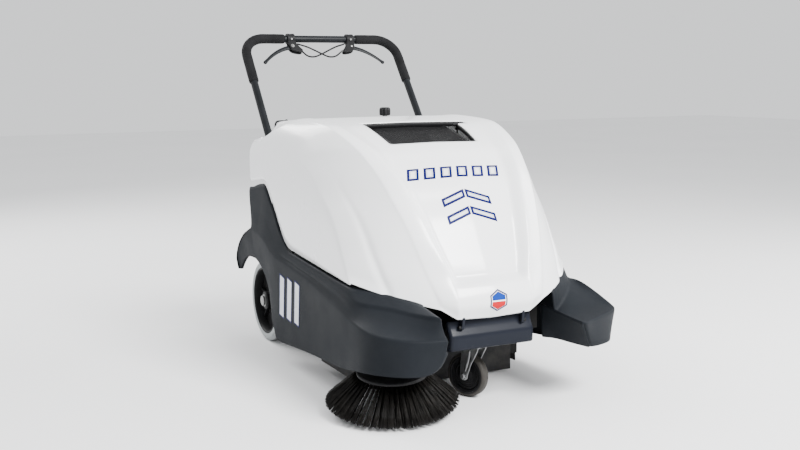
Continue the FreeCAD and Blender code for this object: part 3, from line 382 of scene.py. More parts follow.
def hood_lines():
    """The hood's five long lines on its left side, nose to rear, as an array of [line, row, xyz]."""
    bottom, arch, shoulder, panel, crown = zip(*HOOD_RIBS)
    bottom, arch = ([(HOOD_HALF, *point) for point in line] for line in (bottom, arch))
    crown = [(0, *point) for point in crown]
    return np.array([through(line, HOOD_STEPS) for line in (bottom, arch, shoulder, panel, crown)])


def unit(vectors):
    return vectors / np.linalg.norm(vectors, axis=1)[:, None]


def bowed(start, end, count, rise):
    """count points from start to end for each row, bowed away from the hood's heart by rise."""
    chord = end - start
    away = (start + end) / 2 - HOOD_HEART
    away -= chord * (np.sum(away * chord, 1) / np.sum(chord * chord, 1))[:, None]
    away = unit(away)
    rise = np.broadcast_to(rise, len(start))
    shares = np.linspace(0, 1, count + 1)[1:]
    return [start + chord * s + away * (rise * 4 * s * (1 - s))[:, None] for s in shares]


def shape_band(band, rib):
    """Presses the step at the rear and the long valley into the hood's side band, in place."""
    rear = step_up(rib, *REAR_STEP_IN)[:, None]
    valley_share = VALLEY_SHARE + VALLEY_DRIFT * (DRIFT_RIBS - np.clip(rib, 0, DRIFT_RIBS))
    valley_depth = VALLEY_DEPTH * (1 - step_up(rib, *VALLEY_OUT))
    for i, point in enumerate(band):
        share = (i + 1) / BAND_COLUMNS
        knots = share * (len(REAR_STEP) - 1)
        low = min(int(knots), len(REAR_STEP) - 2)
        shift = np.array(REAR_STEP[low]) * (1 - knots + low) + np.array(REAR_STEP[low + 1]) * (knots - low)
        point += rear * shift
        valley = np.exp(-((share - valley_share) / VALLEY_WIDTH) ** 2) * valley_depth
        point += unit(HOOD_HEART - point) * valley[:, None]


def hood_half():
    """The left half of the hood's skin as [row, column, xyz], from its bottom edge to its middle."""
    bottom, arch, shoulder, panel, crown = hood_lines()
    rib = np.arange(len(bottom)) / HOOD_STEPS
    rise = BAND_LOW_RISE * (1 - step_up(rib, *LOW_RISE_OUT))
    rise = rise + BAND_HIGH_RISE * step_up(rib, *HIGH_RISE_IN) * (1 - step_up(rib, *HIGH_RISE_OUT))
    band = bowed(arch, shoulder, BAND_COLUMNS, rise)
    shape_band(band, rib)
    columns = [bottom, *bowed(bottom, arch, SIDE_COLUMNS, 2.0), *band]
    lift = (STRIP_RISE * step_up(rib, *STRIP_IN) * (1 - step_up(rib, *STRIP_OUT)))[:, None]
    start, end = toward(shoulder, panel, STRIP_EDGE), toward(panel, shoulder, STRIP_EDGE)
    strip = [start, *bowed(start, end, STRIP_COLUMNS - 2, 1.2)]
    columns += [point + unit(point - HOOD_HEART) * lift for point in strip]
    columns += [panel, *bowed(panel, crown, PANEL_COLUMNS, 0.5)]
    return np.stack(columns, axis=1), rib


def hood_skin():
    """The whole skin, with its sunk middle panel, as [row, column, xyz] from right to left."""
    half, rib = hood_half()
    mirrored = half * np.array([-1.0, 1.0, 1.0])
    skin = np.concatenate([mirrored, half[:, -2::-1]], axis=1)
    along = np.gradient(skin, axis=0)
    across = np.gradient(skin, axis=1)
    normal = np.cross(across, along)
    normal /= np.linalg.norm(normal, axis=2)[:, :, None] + 1e-9
    outward = skin - HOOD_HEART
    normal *= np.sign(np.sum(normal * outward, axis=2))[:, :, None]
    edge = SIDE_COLUMNS + BAND_COLUMNS + STRIP_COLUMNS
    middle = half.shape[1] - 1
    column = np.minimum(np.arange(skin.shape[1]), 2 * middle - np.arange(skin.shape[1]))
    sunk = step_up(column, edge + PANEL_DROP[0], edge + PANEL_DROP[1])[None, :]
    depth = np.interp(rib, range(len(PANEL_SINK)), PANEL_SINK)
    depth = np.where(rib < LEDGE_RIB, PANEL_SINK[3] * step_up(rib, *LEDGE_IN), depth)[:, None]
    return skin - normal * (sunk * depth)[:, :, None], middle


def build_hood():
    skin, middle = hood_skin()
    rows, columns = skin.shape[:2]
    first, last = INTAKE_ROWS
    half = PANEL_COLUMNS - INTAKE_MARGIN
    left, right, notch = middle - half, middle + half, middle + half + NOTCH_COLUMNS
    step = last - NOTCH_ROWS

    def is_open(index):
        row, column = divmod(index, columns - 1)
        in_window = first <= row < last and left <= column < right
        in_notch = step <= row < last and middle < column < notch
        return in_window or in_notch

    kept = [face for index, face in enumerate(cells(rows, columns)) if not is_open(index)]
    hood = piece("hood", skin.reshape(-1, 3), kept, "hood_white", "hood", replaces=["hood_shell"], sharp=80)
    smoothed(hood)
    modifier(hood, "SOLIDIFY", thickness=HOOD_WALL * MM, offset=-1.0, use_even_offset=False)
    loop = [(first, c) for c in range(left, right)] + [(r, right) for r in range(first, step)]
    loop += [(step, c) for c in range(right, notch)] + [(r, notch) for r in range(step, last)]
    loop += [(last, c) for c in range(notch, left, -1)] + [(r, left) for r in range(last, first, -1)]
    edge = np.array([skin[r, c] for r, c in loop])
    rings = [edge + np.array([0, 0, -drop]) for drop in COLLAR_DROPS]
    faces = cells(len(rings), len(loop), ring=True)
    collar = piece("intake_collar", np.concatenate(rings), faces, "plastic_black", "hood")
    modifier(collar, "SOLIDIFY", thickness=COLLAR_WALL * MM, offset=0.0)
    return hood


# Fairings

SKIN = 5.0
STATION_STEPS = 3
# Cross sections from the wheel guard's tail to the nose: top edge, ledge, crease and foot, each (x, y, z).
REAR_STATIONS = (
    ((352, 560, 233), (352, 560, 233), (353, 561, 233), (350, 546, 234)),
    ((352, 575, 262), (352, 575, 262), (354, 577, 262), (350, 540, 243)),
    ((352, 571, 290), (352, 571, 290), (355, 573, 290), (350, 527, 255)),
    ((352, 545, 324), (352, 545, 324), (356, 547, 325), (350, 505, 272)),
    ((352, 508, 352), (352, 508, 352), (356, 510, 353), (350, 476, 288)),
    ((352, 466, 373), (352, 466, 373), (357, 468, 374), (350, 440, 293)),
    ((350, 422, 402), (352, 418, 397), (357, 413, 389), (350, 402, 294)),
    ((347, 446, 517), (350, 422, 440), (357, 400, 388), (350, 385, 293)),
    ((346, 400, 532), (350, 390, 450), (358, 375, 387), (350, 362, 287)),
    ((346, 330, 548), (350, 335, 450), (358, 345, 384), (350, 336, 277)),
    ((346, 288, 545), (350, 303, 450), (358, 310, 376), (350, 308, 262)),
    ((345, 237, 493), (350, 262, 430), (358, 273, 366), (350, 280, 238)),
    ((345, 202, 459), (350, 230, 408), (358, 243, 351), (350, 258, 203)),
    ((345, 168, 419), (350, 193, 383), (358, 218, 339), (350, 246, 160)),
    ((344, 120, 379), (350, 148, 361), (358, 178, 328), (350, 238, 118)),
    ((344, 86, 363), (349, 100, 354), (357, 128, 322), (350, 215, 82)),
    ((344, 45, 360), (348, 50, 350), (356, 70, 318), (350, 190, 61)),
    ((344, -5, 356), (348, -5, 346), (356, 0, 311), (350, 60, 71)),
    ((344, -80, 351), (348, -83, 342), (356, -85, 302), (350, -40, 80)),
    ((344, -160, 346), (348, -163, 336), (357, -170, 290), (351, -136, 88)),
)
FRONT_STATIONS = {
    RIGHT: (
        ((344, -250, 340), (349, -250, 331), (359, -255, 277), (353, -215, 94)),
        ((344, -330, 336), (350, -340, 321), (363, -345, 265), (359, -300, 102)),
        ((341, -376, 334), (348, -410, 306), (366, -425, 256), (369, -390, 116)),
        ((316, -412, 331), (333, -452, 303), (368, -495, 250), (379, -470, 133)),
        ((288, -444, 327), (308, -487, 301), (360, -555, 246), (377, -540, 143)),
        ((262, -472, 321), (280, -520, 297), (338, -605, 243), (350, -600, 147)),
        ((238, -496, 314), (254, -553, 291), (300, -640, 240), (308, -640, 148)),
        ((220, -510, 308), (232, -592, 289), (258, -657, 238), (262, -655, 150)),
        ((211, -517, 304), (216, -618, 289), (226, -665, 237), (226, -655, 166)),
        ((206, -521, 301), (206, -630, 287), (206, -667, 236), (206, -660, 205)),
    ),
    LEFT: (
        ((344, -250, 340), (349, -250, 333), (359, -255, 285), (353, -215, 94)),
        ((344, -330, 336), (350, -338, 322), (361, -345, 291), (359, -300, 103)),
        ((341, -376, 334), (346, -386, 309), (365, -420, 298), (368, -400, 128)),
        ((318, -410, 331), (327, -424, 300), (378, -476, 279), (379, -470, 150)),
        ((300, -432, 329), (309, -447, 294), (381, -530, 261), (379, -520, 158)),
        ((285, -448, 326), (295, -463, 289), (381, -566, 249), (377, -555, 160)),
        ((275, -458, 324), (284, -474, 284), (374, -584, 245), (366, -572, 158)),
        ((262, -472, 321), (270, -487, 277), (350, -601, 243), (345, -600, 155)),
        ((240, -493, 314), (247, -507, 266), (300, -628, 240), (305, -618, 155)),
        ((222, -508, 308), (226, -521, 256), (240, -655, 238), (278, -624, 155)),
        ((213, -515, 305), (214, -528, 250), (216, -667, 238), (266, -624, 156)),
        ((206, -521, 301), (206, -533, 246), (206, -664, 238), (262, -623, 157)),
    ),
}
DECK_COLUMNS, SIDE_FACE_COLUMNS, LEDGE_COLUMNS = 7, 6, 3
GROOVE_SHARE, GROOVE_WIDTH, GROOVE_DEPTH = 0.35, 0.2, 3.5
DECK_SAG = 5
TOP_RETURN, FOOT_RETURN = 14, 9
LIP_NEAR, LIP_FAR, EDGE_REACH = 4, 9, 3
LIP_DROP, WIDE_DROP = 4, 3
NOSE_STATION, NOSE_RETURN = 23, 4
# The stations between which the ledge comes in, the deck widens and the groove comes in and ends.
LEDGE_STATIONS, WIDE_STATIONS, GROOVE_IN, GROOVE_OUT = (14, 17), (20.5, 23), (14, 16), (20.5, 22)
WALL_X = 206.0
WALL_EDGE_POINTS, WALL_EDGE_R = 14, 2.4
WALL_OUTLINE = ((-662, 234), (-612, 271), (-560, 288), (-521, 299), (-468, 306), (-468, 168), (-600, 156),
                (-650, 205))


def spread(start, end, count):
    """The points between start and end that divide the way into count equal steps."""
    return [start + (end - start) * (i / count) for i in range(1, count)]


def toward(start, end, distance):
    """Each start point moved by a distance towards its end point, but never over 0.4 of the way."""
    step = end - start
    length = np.linalg.norm(step, axis=1)
    reach = np.minimum(distance, 0.4 * length)
    return start + step * (reach / np.maximum(length, 1e-6))[:, None]


def fairing_skin(side):
    """The fairing's outer face as [row, column, xyz]: rows run from the wheel guard's tail to the nose."""
    stations = np.array(REAR_STATIONS + FRONT_STATIONS[side], float)
    top, ledge, crease, foot = (through(stations[:, k], STATION_STEPS) for k in range(4))
    station = np.arange(len(top)) / STATION_STEPS
    ledged = step_up(station, *LEDGE_STATIONS)[:, None]
    wide = step_up(station, *WIDE_STATIONS)[:, None]
    grooved = step_up(station, *GROOVE_IN) * (1 - step_up(station, *GROOVE_OUT))
    lip_drop = np.array([0.0, 0.0, -1.0]) * (LIP_DROP + WIDE_DROP * wide) * ledged
    start = toward(ledge, crease, LIP_FAR) + lip_drop
    deck = spread(start, crease, DECK_COLUMNS)
    for i, point in enumerate(deck):
        share = (i + 1) / DECK_COLUMNS
        point[:, 0] -= math.exp(-((share - GROOVE_SHARE) / GROOVE_WIDTH) ** 2) * GROOVE_DEPTH * grooved
        point[:, 2] -= math.sin(math.pi * share) * DECK_SAG * wide[:, 0]
    inward = foot.copy()
    inward[:, 0] -= FOOT_RETURN
    inward[:, 1] += np.where(station > NOSE_STATION, NOSE_RETURN, 0)
    columns = [top + np.array([-TOP_RETURN, 0, -3]) * ledged, top, *spread(top, ledge, LEDGE_COLUMNS)]
    below = toward(crease, foot, EDGE_REACH)
    columns += [toward(ledge, top, EDGE_REACH), ledge, toward(ledge, crease, LIP_NEAR) + lip_drop, start]
    columns += [*deck, toward(crease, start, EDGE_REACH), below, *spread(below, foot, SIDE_FACE_COLUMNS)]
    columns += [toward(foot, crease, EDGE_REACH), foot, inward]
    return np.stack(columns, axis=1)


def build_fairing(side):
    skin = fairing_skin(side)
    skin[:, :, 0] *= side
    fairing = piece(f"fairing_skin_{WORD[side]}", skin.reshape(-1, 3), cells(*skin.shape[:2]), "fairing_grey",
                    "root", replaces=[f"fairing_{WORD[side]}"], sharp=75)
    smoothed(fairing)
    modifier(fairing, "SOLIDIFY", thickness=SKIN * MM, offset=-1.0)
    if side == RIGHT:
        plate("fender_wall_right", WALL_OUTLINE, -WALL_X, -WALL_X + SKIN, "fairing_grey")
    else:
        build_left_fender_wall()
    return fairing


def build_left_fender_wall():
    """The fender's inner face: upright at its rear edge, and leaning out at the foot towards the nose."""
    top = through([(WALL_X, -664, 238), (WALL_X, -600, 241), (WALL_X, -533, 246), (WALL_X, -468, 252)], 5)
    foot = through([(262, -623, 157), (250, -560, 156), (237, -494, 156), (209, -468, 156)], 5)
    skin = np.stack([top + (foot - top) * share for share in (0, 0.03, 0.25, 0.5, 0.75, 0.97, 1)], axis=1)
    faces = cells(*skin.shape[:2])
    wall = piece("fender_wall_left", skin.reshape(-1, 3), faces, "fairing_grey", "root", sharp=60)
    smoothed(wall)
    modifier(wall, "SOLIDIFY", thickness=SKIN * MM, offset=-1.0)
    swept("fender_wall_left_edge", top[:WALL_EDGE_POINTS], WALL_EDGE_R, "fairing_grey", "root", 10)


def slab(name, outline, place, low, high, paint, body="root", edge=1.2, replaces=(), segments=3):
    """A flat plate with rounded edges, between two heights above a place.

    The outline is in lengths along the first two ways of the place, which is (origin, first, second, normal).
    """
    origin, first, second, normal = (Vector(v) for v in place)
    count = len(outline)
    points = [origin + first * a + second * b + normal * h for h in (low, high) for a, b in outline]
    faces = [tuple(range(count)), tuple(range(2 * count - 1, count - 1, -1))]
    faces += [(i, (i + 1) % count, count + (i + 1) % count, count + i) for i in range(count)]
    return bevelled(piece(name, points, faces, paint, body, replaces=replaces, sharp=35), edge, segments)


def plate(name, outline, x0, x1, paint, body="root", edge=1.5, replaces=()):
    """A flat plate of a (y, z) outline between two x planes."""
    place = ((0, 0, 0), (0, 1, 0), (0, 0, 1), (1, 0, 0))
    return slab(name, outline, place, x0, x1, paint, body, edge, replaces, segments=2)


# Bumper

BUMPER_SECTION = (
    (-538, 168), (-544, 170), (-546, 176), (-546, 204), (-544.5, 210), (-541, 215.5), (-534, 226.5),
    (-530.5, 235), (-528, 248), (-524, 248), (-526.5, 234), (-531, 223), (-537, 212), (-540, 204),
    (-540, 178), (-536, 173.5), (-506, 173.5), (-506, 168),
)
BUMPER_XS = (-130, -129, -126, -120, *range(-100, 101, 20), 120, 126, 129, 130)
BUMPER_TUCK_FROM, BUMPER_FLANGE_Y = 122, -520
CAP_INNER, CAP_OUTER = 124, 128.5
RIVET_XS = (-112, -36, 36, 66, 112)
BUMPER_CAP = ((-542, 174), (-542, 206), (-538, 214), (-530, 227), (-526, 241), (-514, 241), (-508, 232),
              (-508, 174))


def build_bumper():
    """A pressed channel with its ends tucked back, an end cap in each end and rivets underneath."""
    points = []
    for x in BUMPER_XS:
        tuck = max(0.0, abs(x) - BUMPER_TUCK_FROM) ** 2 * 0.11
        points += [(x, y + tuck if y < BUMPER_FLANGE_Y else y, z) for y, z in BUMPER_SECTION]
    count = len(BUMPER_SECTION)
    faces = cells(len(BUMPER_XS), count, ring=True)
    faces += [tuple(range(count)), tuple(range(len(points) - 1, len(points) - count - 1, -1))]
    channel = piece("bumper_channel", points, faces, "bumper_paint", "root", ["front_bumper"], 50)
    smoothed(channel)
    for side, word in WORD.items():
        plate(f"bumper_end_cap_{word}", BUMPER_CAP, side * CAP_INNER, side * CAP_OUTER, "plastic_black")
    for i, x in enumerate(RIVET_XS):
        dome(f"bumper_rivet_{i}", (x, -528, 168.2), (0, 0, -1), 4.5, 2.6, "steel")


# Turned and swept pieces

def basis(axis):
    """An axis as a unit vector, and two ways across it."""
    axis = Vector(axis).normalized()
    first = axis.orthogonal().normalized()
    return axis, first, axis.cross(first)


def spoke(first, second, angle):
    """The way at an angle between two ways that cross an axis."""
    return first * math.cos(angle) + second * math.sin(angle)


def turned(name, profile, centre, axis, paint, body="root", steps=64, replaces=(), sharp=35.0):
    """A turned piece: profile is (radius, height along the axis) from the centre point."""
    axis, first, second = basis(axis)
    centre = Vector(centre)
    turns = [spoke(first, second, 2 * math.pi * i / steps) for i in range(steps)]
    points = [centre + (turn * radius + axis * height) for radius, height in profile for turn in turns]
    return piece(name, points, cells(len(profile), steps, ring=True), paint, body, replaces, sharp)


def closed(profile):
    """The profile joined back to its start, for a ring."""
    return [*profile, profile[0]]


def two_sided(half):
    """A ring's closed profile from its lower half: the upper half mirrors it."""
    return closed(half + [(radius, -height) for radius, height in reversed(half)])


def dome(name, centre, axis, radius, height, paint, body="root"):
    arc = [(radius * math.cos(a), height * math.sin(a)) for a in (0, 0.35, 0.7, 1.05, 1.4)]
    return turned(name, [(0.01, 0), *arc, (0.01, height)], centre, axis, paint, body, steps=20)


def hex_bolt(name, centre, axis, radius, height, paint, body="root", washer=True):
    """A bolt head with chamfered corners on a washer."""
    axis, first, second = basis(axis)
    centre = Vector(centre)
    base = 1.2 if washer else 0.0
    ways = [spoke(first, second, 2 * math.pi * i / 6) for i in range(6)]
    rings = ((radius, base), (radius, base + height * 0.8), (radius * 0.86, base + height))
    points = [centre + way * corner_r + axis * up for corner_r, up in rings for way in ways]
    faces = cells(3, 6, ring=True) + [tuple(range(5, -1, -1)), tuple(range(12, 18))]
    if washer:
        rim = [(0.01, 0), (radius * 1.5, 0), (radius * 1.5, 1.0), (radius * 1.4, 1.3), (0.01, 1.3)]
        turned(name + "_washer", rim, centre, axis, paint, body, steps=28)
    return piece(name, points, faces, paint, body, sharp=20)


def swept(name, line, radii, paint, body="root", sides=24, replaces=(), flatten=1.0, flat_side=None,
          caps=True):
    """A tube along a line of points, with one radius or one for each; flatten narrows it on flat_side."""
    line = [Vector(point) for point in line]
    radii = [radii] * len(line) if isinstance(radii, (int, float)) else radii
    points = []
    normal = Vector(flat_side) if flat_side else (line[1] - line[0]).orthogonal()
    for i, spot in enumerate(line):
        ahead = (line[min(i + 1, len(line) - 1)] - line[max(i - 1, 0)]).normalized()
        normal = (normal - ahead * normal.dot(ahead)).normalized()
        other = ahead.cross(normal)
        for k in range(sides):
            angle = 2 * math.pi * k / sides
            points.append(spot + (normal * math.cos(angle) * flatten + other * math.sin(angle)) * radii[i])
    faces = cells(len(line), sides, ring=True)
    if caps:
        last = (len(line) - 1) * sides
        faces += [tuple(range(sides - 1, -1, -1)), tuple(range(last, last + sides))]
    return piece(name, points, faces, paint, body, replaces, sharp=50)


# Side brush

SIDE_BRUSH = Vector((-255, -447, 0))
SIDE_BRUSH_R = 182.0
SIDE_BRUSH_TILT = math.radians(5.7)
SIDE_BRUSH_CLEAR = 1.5
SIDE_TUFTS, SIDE_STRANDS = 52, 17
SIDE_STRAND_R = 1.15
# Each ring of tufts: the radius of its roots and of its tips, and how high the tips and the roots are.
SIDE_RINGS = ((75, 157, 1, 88), (81, 166, 3, 88), (87, 174, 8, 88), (92, 180, 14, 89))
SIDE_PLATE = ((0.01, 83.6), (68, 83.6), (72, 84.6), (92, 87), (95, 89.5), (95, 94), (93, 96.5), (84, 98),
              (70, 101), (60, 103.4), (38, 105.6), (24, 106), (22, 108), (22, 117), (20, 118), (0.01, 118))


def side_brush_frame():
    """The brush's centre, and its axis, tilted so that its front right edge is low."""
    low = Vector((-0.435, -0.90, 0)).normalized()
    axis = (low * math.sin(SIDE_BRUSH_TILT) + Vector((0, 0, 1)) * math.cos(SIDE_BRUSH_TILT)).normalized()
    centre = SIDE_BRUSH + Vector((0, 0, SIDE_BRUSH_CLEAR + SIDE_BRUSH_R * math.sin(SIDE_BRUSH_TILT)))
    return centre, axis


def strands(name, roots_and_tips, radius, paint, body, replaces, segments=4):
    """Many thin filaments, each with three sides that narrow to the tip and bend as given by its middle."""
    points, faces = [], []
    for root, middle, tip in roots_and_tips:
        start = len(points)
        side = (tip - root).orthogonal().normalized()
        other = (tip - root).cross(side).normalized()
        for k in range(segments + 1):
            t = k / segments
            spot = root * (1 - t) ** 2 + middle * 2 * t * (1 - t) + tip * t * t
            width = radius * (1 - 0.35 * t)
            points += [spot + spoke(side, other, 2 * math.pi * i / 3) * width for i in range(3)]
        faces += cells(segments + 1, 3, start, ring=True)
        end = start + segments * 3
        faces += [(start + 2, start + 1, start), (end, end + 1, end + 2)]
    mesh = bpy.data.meshes.new(name)
    mesh.from_pydata([at(p) for p in points], [], faces)
    mesh.polygons.foreach_set("use_smooth", [True] * len(mesh.polygons))
    return link(bpy.data.objects.new(name, mesh), paint, body, replaces)


def side_strand(centre, ways, angle, ring):
    """One filament's root, middle and tip, near a tuft's angle in a ring."""
    axis, first, second = ways
    root_r, tip_r, tip_up, root_up = SIDE_RINGS[ring]
    out = spoke(first, second, angle + RANDOM.gauss(0, 0.014))
    tip_out = spoke(first, second, angle + RANDOM.gauss(0, 0.022))
    reach = min(SIDE_BRUSH_R - 2.0, tip_r + RANDOM.uniform(-5, 2))
    root = centre + out * (root_r + RANDOM.uniform(-2.5, 2.5)) + axis * root_up
    tip = centre + tip_out * reach + axis * (tip_up + RANDOM.uniform(0.0, 4.0))
    middle = (root + tip) / 2 + out * 1.5 + axis * RANDOM.uniform(0.5, 3.5)
    return root, middle, tip


def build_side_brush():
    centre, axis = side_brush_frame()
    ways = axis, *basis(axis)[1:]
    lines = []
    for ring in range(len(SIDE_RINGS)):
        for tuft in range(SIDE_TUFTS):
            angle = 2 * math.pi * (tuft + ring / 4) / SIDE_TUFTS
            lines += [side_strand(centre, ways, angle, ring) for _ in range(SIDE_STRANDS)]
    strands("side_bristles", lines, SIDE_STRAND_R, "bristle_black", "side_brush", ["side_brush_bristles"])
    turned("side_brush_plate", SIDE_PLATE, centre, axis, "plastic_black", "side_brush", 96,
           ["side_brush_disc"])
    for i in range(3):
        spot = centre + spoke(*ways[1:], 2 * math.pi * i / 3 + 0.4) * 40 + axis * 105
        hex_bolt(f"side_brush_bolt_{i}", spot, axis, 5.0, 4.0, "steel", "side_brush")


# Rear wheels

WHEEL_R, WHEEL_Y, WHEEL_IN, WHEEL_OUT, TYRE_DEPTH = 136.5, 449.0, 252.0, 302.0, 24.0
WHEEL_HALF = (WHEEL_OUT - WHEEL_IN) / 2
TYRE_SEAT = WHEEL_R - TYRE_DEPTH
WHEEL_RIBS = 6
# A rib's sections from the hub to the barrel: radius, half width, and how far out its top is.
RIB_SECTIONS = ((28, 4.5, 17), (45, 3.8, 9), (70, 3.4, 4), (TYRE_SEAT - 10, 5.5, 9))
RIB_BACK = -10


def tyre_profile():
    """The tyre's section, with three grooves round its tread."""
    seat = TYRE_SEAT
    shoulder = [(seat, 1), (seat + 3, 0), (seat + 14, 0), (seat + 19, 3), (WHEEL_R - 1.6, 8)]
    groove = [(0, -3.2), (0, -2.2), (-2.6, -1.4), (-2.6, 1.4), (0, 2.2), (0, 3.2)]
    profile = [(radius, step - WHEEL_HALF) for radius, step in shoulder]
    profile += [(WHEEL_R + sink, middle + step) for middle in (-10, 0, 10) for sink, step in groove]
    return closed(profile + [(radius, WHEEL_HALF - step) for radius, step in reversed(shoulder)])


def rim_profile():
    """The rim's section: a barrel under the tyre, a thin dish and a hub."""
    half, seat = WHEEL_HALF, TYRE_SEAT
    outer = [(seat - 0.3, 1 - half), (seat - 0.3, half - 1), (seat - 3, half), (seat - 6, half - 1),
             (seat - 9, half - 8), (seat - 9, -6), (60, -9), (34, -7), (30, -4), (30, half - 3)]
    hub = [(27, half - 1), (17, half - 1), (15, half - 4), (14, -half), (26, -half), (30, 4 - half)]
    inner = [(32, -13), (60, -15), (seat - 9, -12), (seat - 8, 2 - half), (seat - 4, -half)]
    return closed(outer + hub + inner)


def wheel_rib(side, centre, angle):
    """A rib of the rim, from its hub to its barrel: points and faces."""
    radial = Vector((0, math.cos(angle), math.sin(angle)))
    tangent = Vector((0, -math.sin(angle), math.cos(angle)))
    points = []
    for radius, width, top in RIB_SECTIONS:
        base = Vector(centre) + radial * radius
        for shift, height in ((-width, RIB_BACK), (-width * 0.7, top), (width * 0.7, top), (width, RIB_BACK)):
            points.append(base + tangent * shift + Vector((side * height, 0, 0)))
    return points, cells(4, 4, ring=True) + [(3, 2, 1, 0), (12, 13, 14, 15)]


def build_rear_wheel(side):
    word = WORD[side]
    body = "drive_axle" if side == RIGHT else "left_wheel"
    centre = (side * (WHEEL_IN + WHEEL_OUT) / 2, WHEEL_Y, WHEEL_R)
    outward = (side, 0, 0)
    turned(f"tyre_{word}_band", tyre_profile(), centre, outward, "tyre_grey", body, 128, [f"tyre_{word}"], 30)
    turned(f"rim_{word}_dish", rim_profile(), centre, outward, "plastic_black", body, 96, [f"rim_{word}"], 30)
    for i in range(WHEEL_RIBS):
        points, faces = wheel_rib(side, centre, math.radians(360 / WHEEL_RIBS * i + 15))
        smoothed(piece(f"rim_{word}_rib_{i}", points, faces, "plastic_black", body, sharp=50), 2)
    hub = Vector(centre) + Vector(outward) * (WHEEL_HALF - 1)
    washer = [(0.01, 0), (21, 0), (21, 2), (19.5, 2.8), (0.01, 2.8)]
    turned(f"hub_washer_{word}", washer, hub, outward, "steel", body, 40)


# Foam grips

BAR_R, BAR_HALF, BAR_Y, BAR_Z, BAR_BEND, FOAM_R = 12.5, 288.0, 656.0, 1020.0, 75.0, 17.0
FOAM_END = Vector((0, 539, 871))
FOAM_GAP, FOAM_CHAMFER, FOAM_WAVE = 22.0, 2.5, 0.4
CLAMP_X = 113.0


def grip_line(side):
    """The middle line of the handle's tube under the foam, from the clamp round the corner."""
    corner = Vector((side * BAR_HALF, BAR_Y, BAR_Z))
    first = Vector((-side, 0, 0))
    second = Vector((0, FOAM_END.y - BAR_Y, FOAM_END.z - BAR_Z)).normalized()
    inner = Vector((side * (CLAMP_X + FOAM_GAP), BAR_Y, BAR_Z))
    line = [inner + (corner + first * BAR_BEND - inner) * (i / 6) for i in range(6)]
    middle = corner + (first + second) * BAR_BEND
    line += [middle - second * BAR_BEND * math.cos(a) - first * BAR_BEND * math.sin(a)
             for a in (math.pi / 2 * i / 14 for i in range(15))]
    start = corner + second * BAR_BEND
    end = Vector((side * BAR_HALF, FOAM_END.y, FOAM_END.z))
    return line + [start + (end - start) * (i / 8) for i in range(1, 9)]


def foam_end(line, end, inner):
    """Sets the two points that give one end of a foam sleeve its chamfer."""
    step = 1 if end == 0 else -1
    way = (line[inner] - line[end]).normalized()
    line[end + step] = line[end] + way * 0.5
    line[end + 2 * step] = line[end] + way * 3.0


def build_grips():
    for side, word in WORD.items():
        line = grip_line(side)
        line = [line[0], line[0], *line, line[-1], line[-1]]
        foam_end(line, 0, 3)
        foam_end(line, -1, -4)
        waves = [FOAM_R - FOAM_WAVE * (0.5 + 0.5 * math.sin(i * 1.7)) for i in range(len(line) - 4)]
        radii = [BAR_R, FOAM_R - FOAM_CHAMFER, *waves, FOAM_R - FOAM_CHAMFER, BAR_R]
        sleeve = swept(f"foam_grip_{word}", line, radii, "foam_black", "handle", 32, [f"grip_{word}"],
                       caps=False)
        smoothed(sleeve)


# Intake mesh, starter grip and small controls

GRILLE_LOW, GRILLE_LOW_Y, GRILLE_SINK = 697, -209, 6
GRILLE_SLOPE = (740 - GRILLE_LOW) / (-38 - GRILLE_LOW_Y)
GRILLE_FRONT, GRILLE_REAR, GRILLE_RIGHT, GRILLE_LEFT = -213.0, -33.0, -124, 128
WIRE_HALF, WEAVE = 0.62, 0.5
LONG_WIRES, LONG_PITCH, LONG_STEPS, LONG_STEP = 64, 3.97, 18, 9.5
CROSS_WIRES, CROSS_PITCH = 45, 4.0
RIM_MARGIN, RIM_R = 2, 3.2
STARTER = (162, -62, 741)
ROPE_SHIFT, ROPE_FOOT, ROPE_TOP, ROPE_POINTS = -2, 571, 737, 24
THROTTLE_PIVOT = Vector((-253, 430, 700))
THROTTLE_BENDS = ((0, 1, 3), (0, 3, 16), (0, 5.5, 31), (2.5, 7, 38), (7, 7, 41.4), (12, 7, 42), (24, 7, 42),
                  (39, 7, 42))


def grille_point(x, y, lift=0.0):
    """A point on the sloping mesh."""
    return Vector((x, y, GRILLE_LOW + GRILLE_SLOPE * (y - GRILLE_LOW_Y) - GRILLE_SINK + lift))


def wire(points, faces, start, end):
    """Adds a four-sided wire between two points, with its corners up, down and to the sides."""
    ahead = (end - start).normalized()
    side = ahead.cross(Vector((0, 0, 1))).normalized()
    up = side.cross(ahead)
    first = len(points)
    for spot in (start, end):
        points += [spot + way * WIRE_HALF for way in (side, up, -side, -up)]
    faces += cells(2, 4, first, ring=True)
    faces += [(first + 3, first + 2, first + 1, first), tuple(range(first + 4, first + 8))]


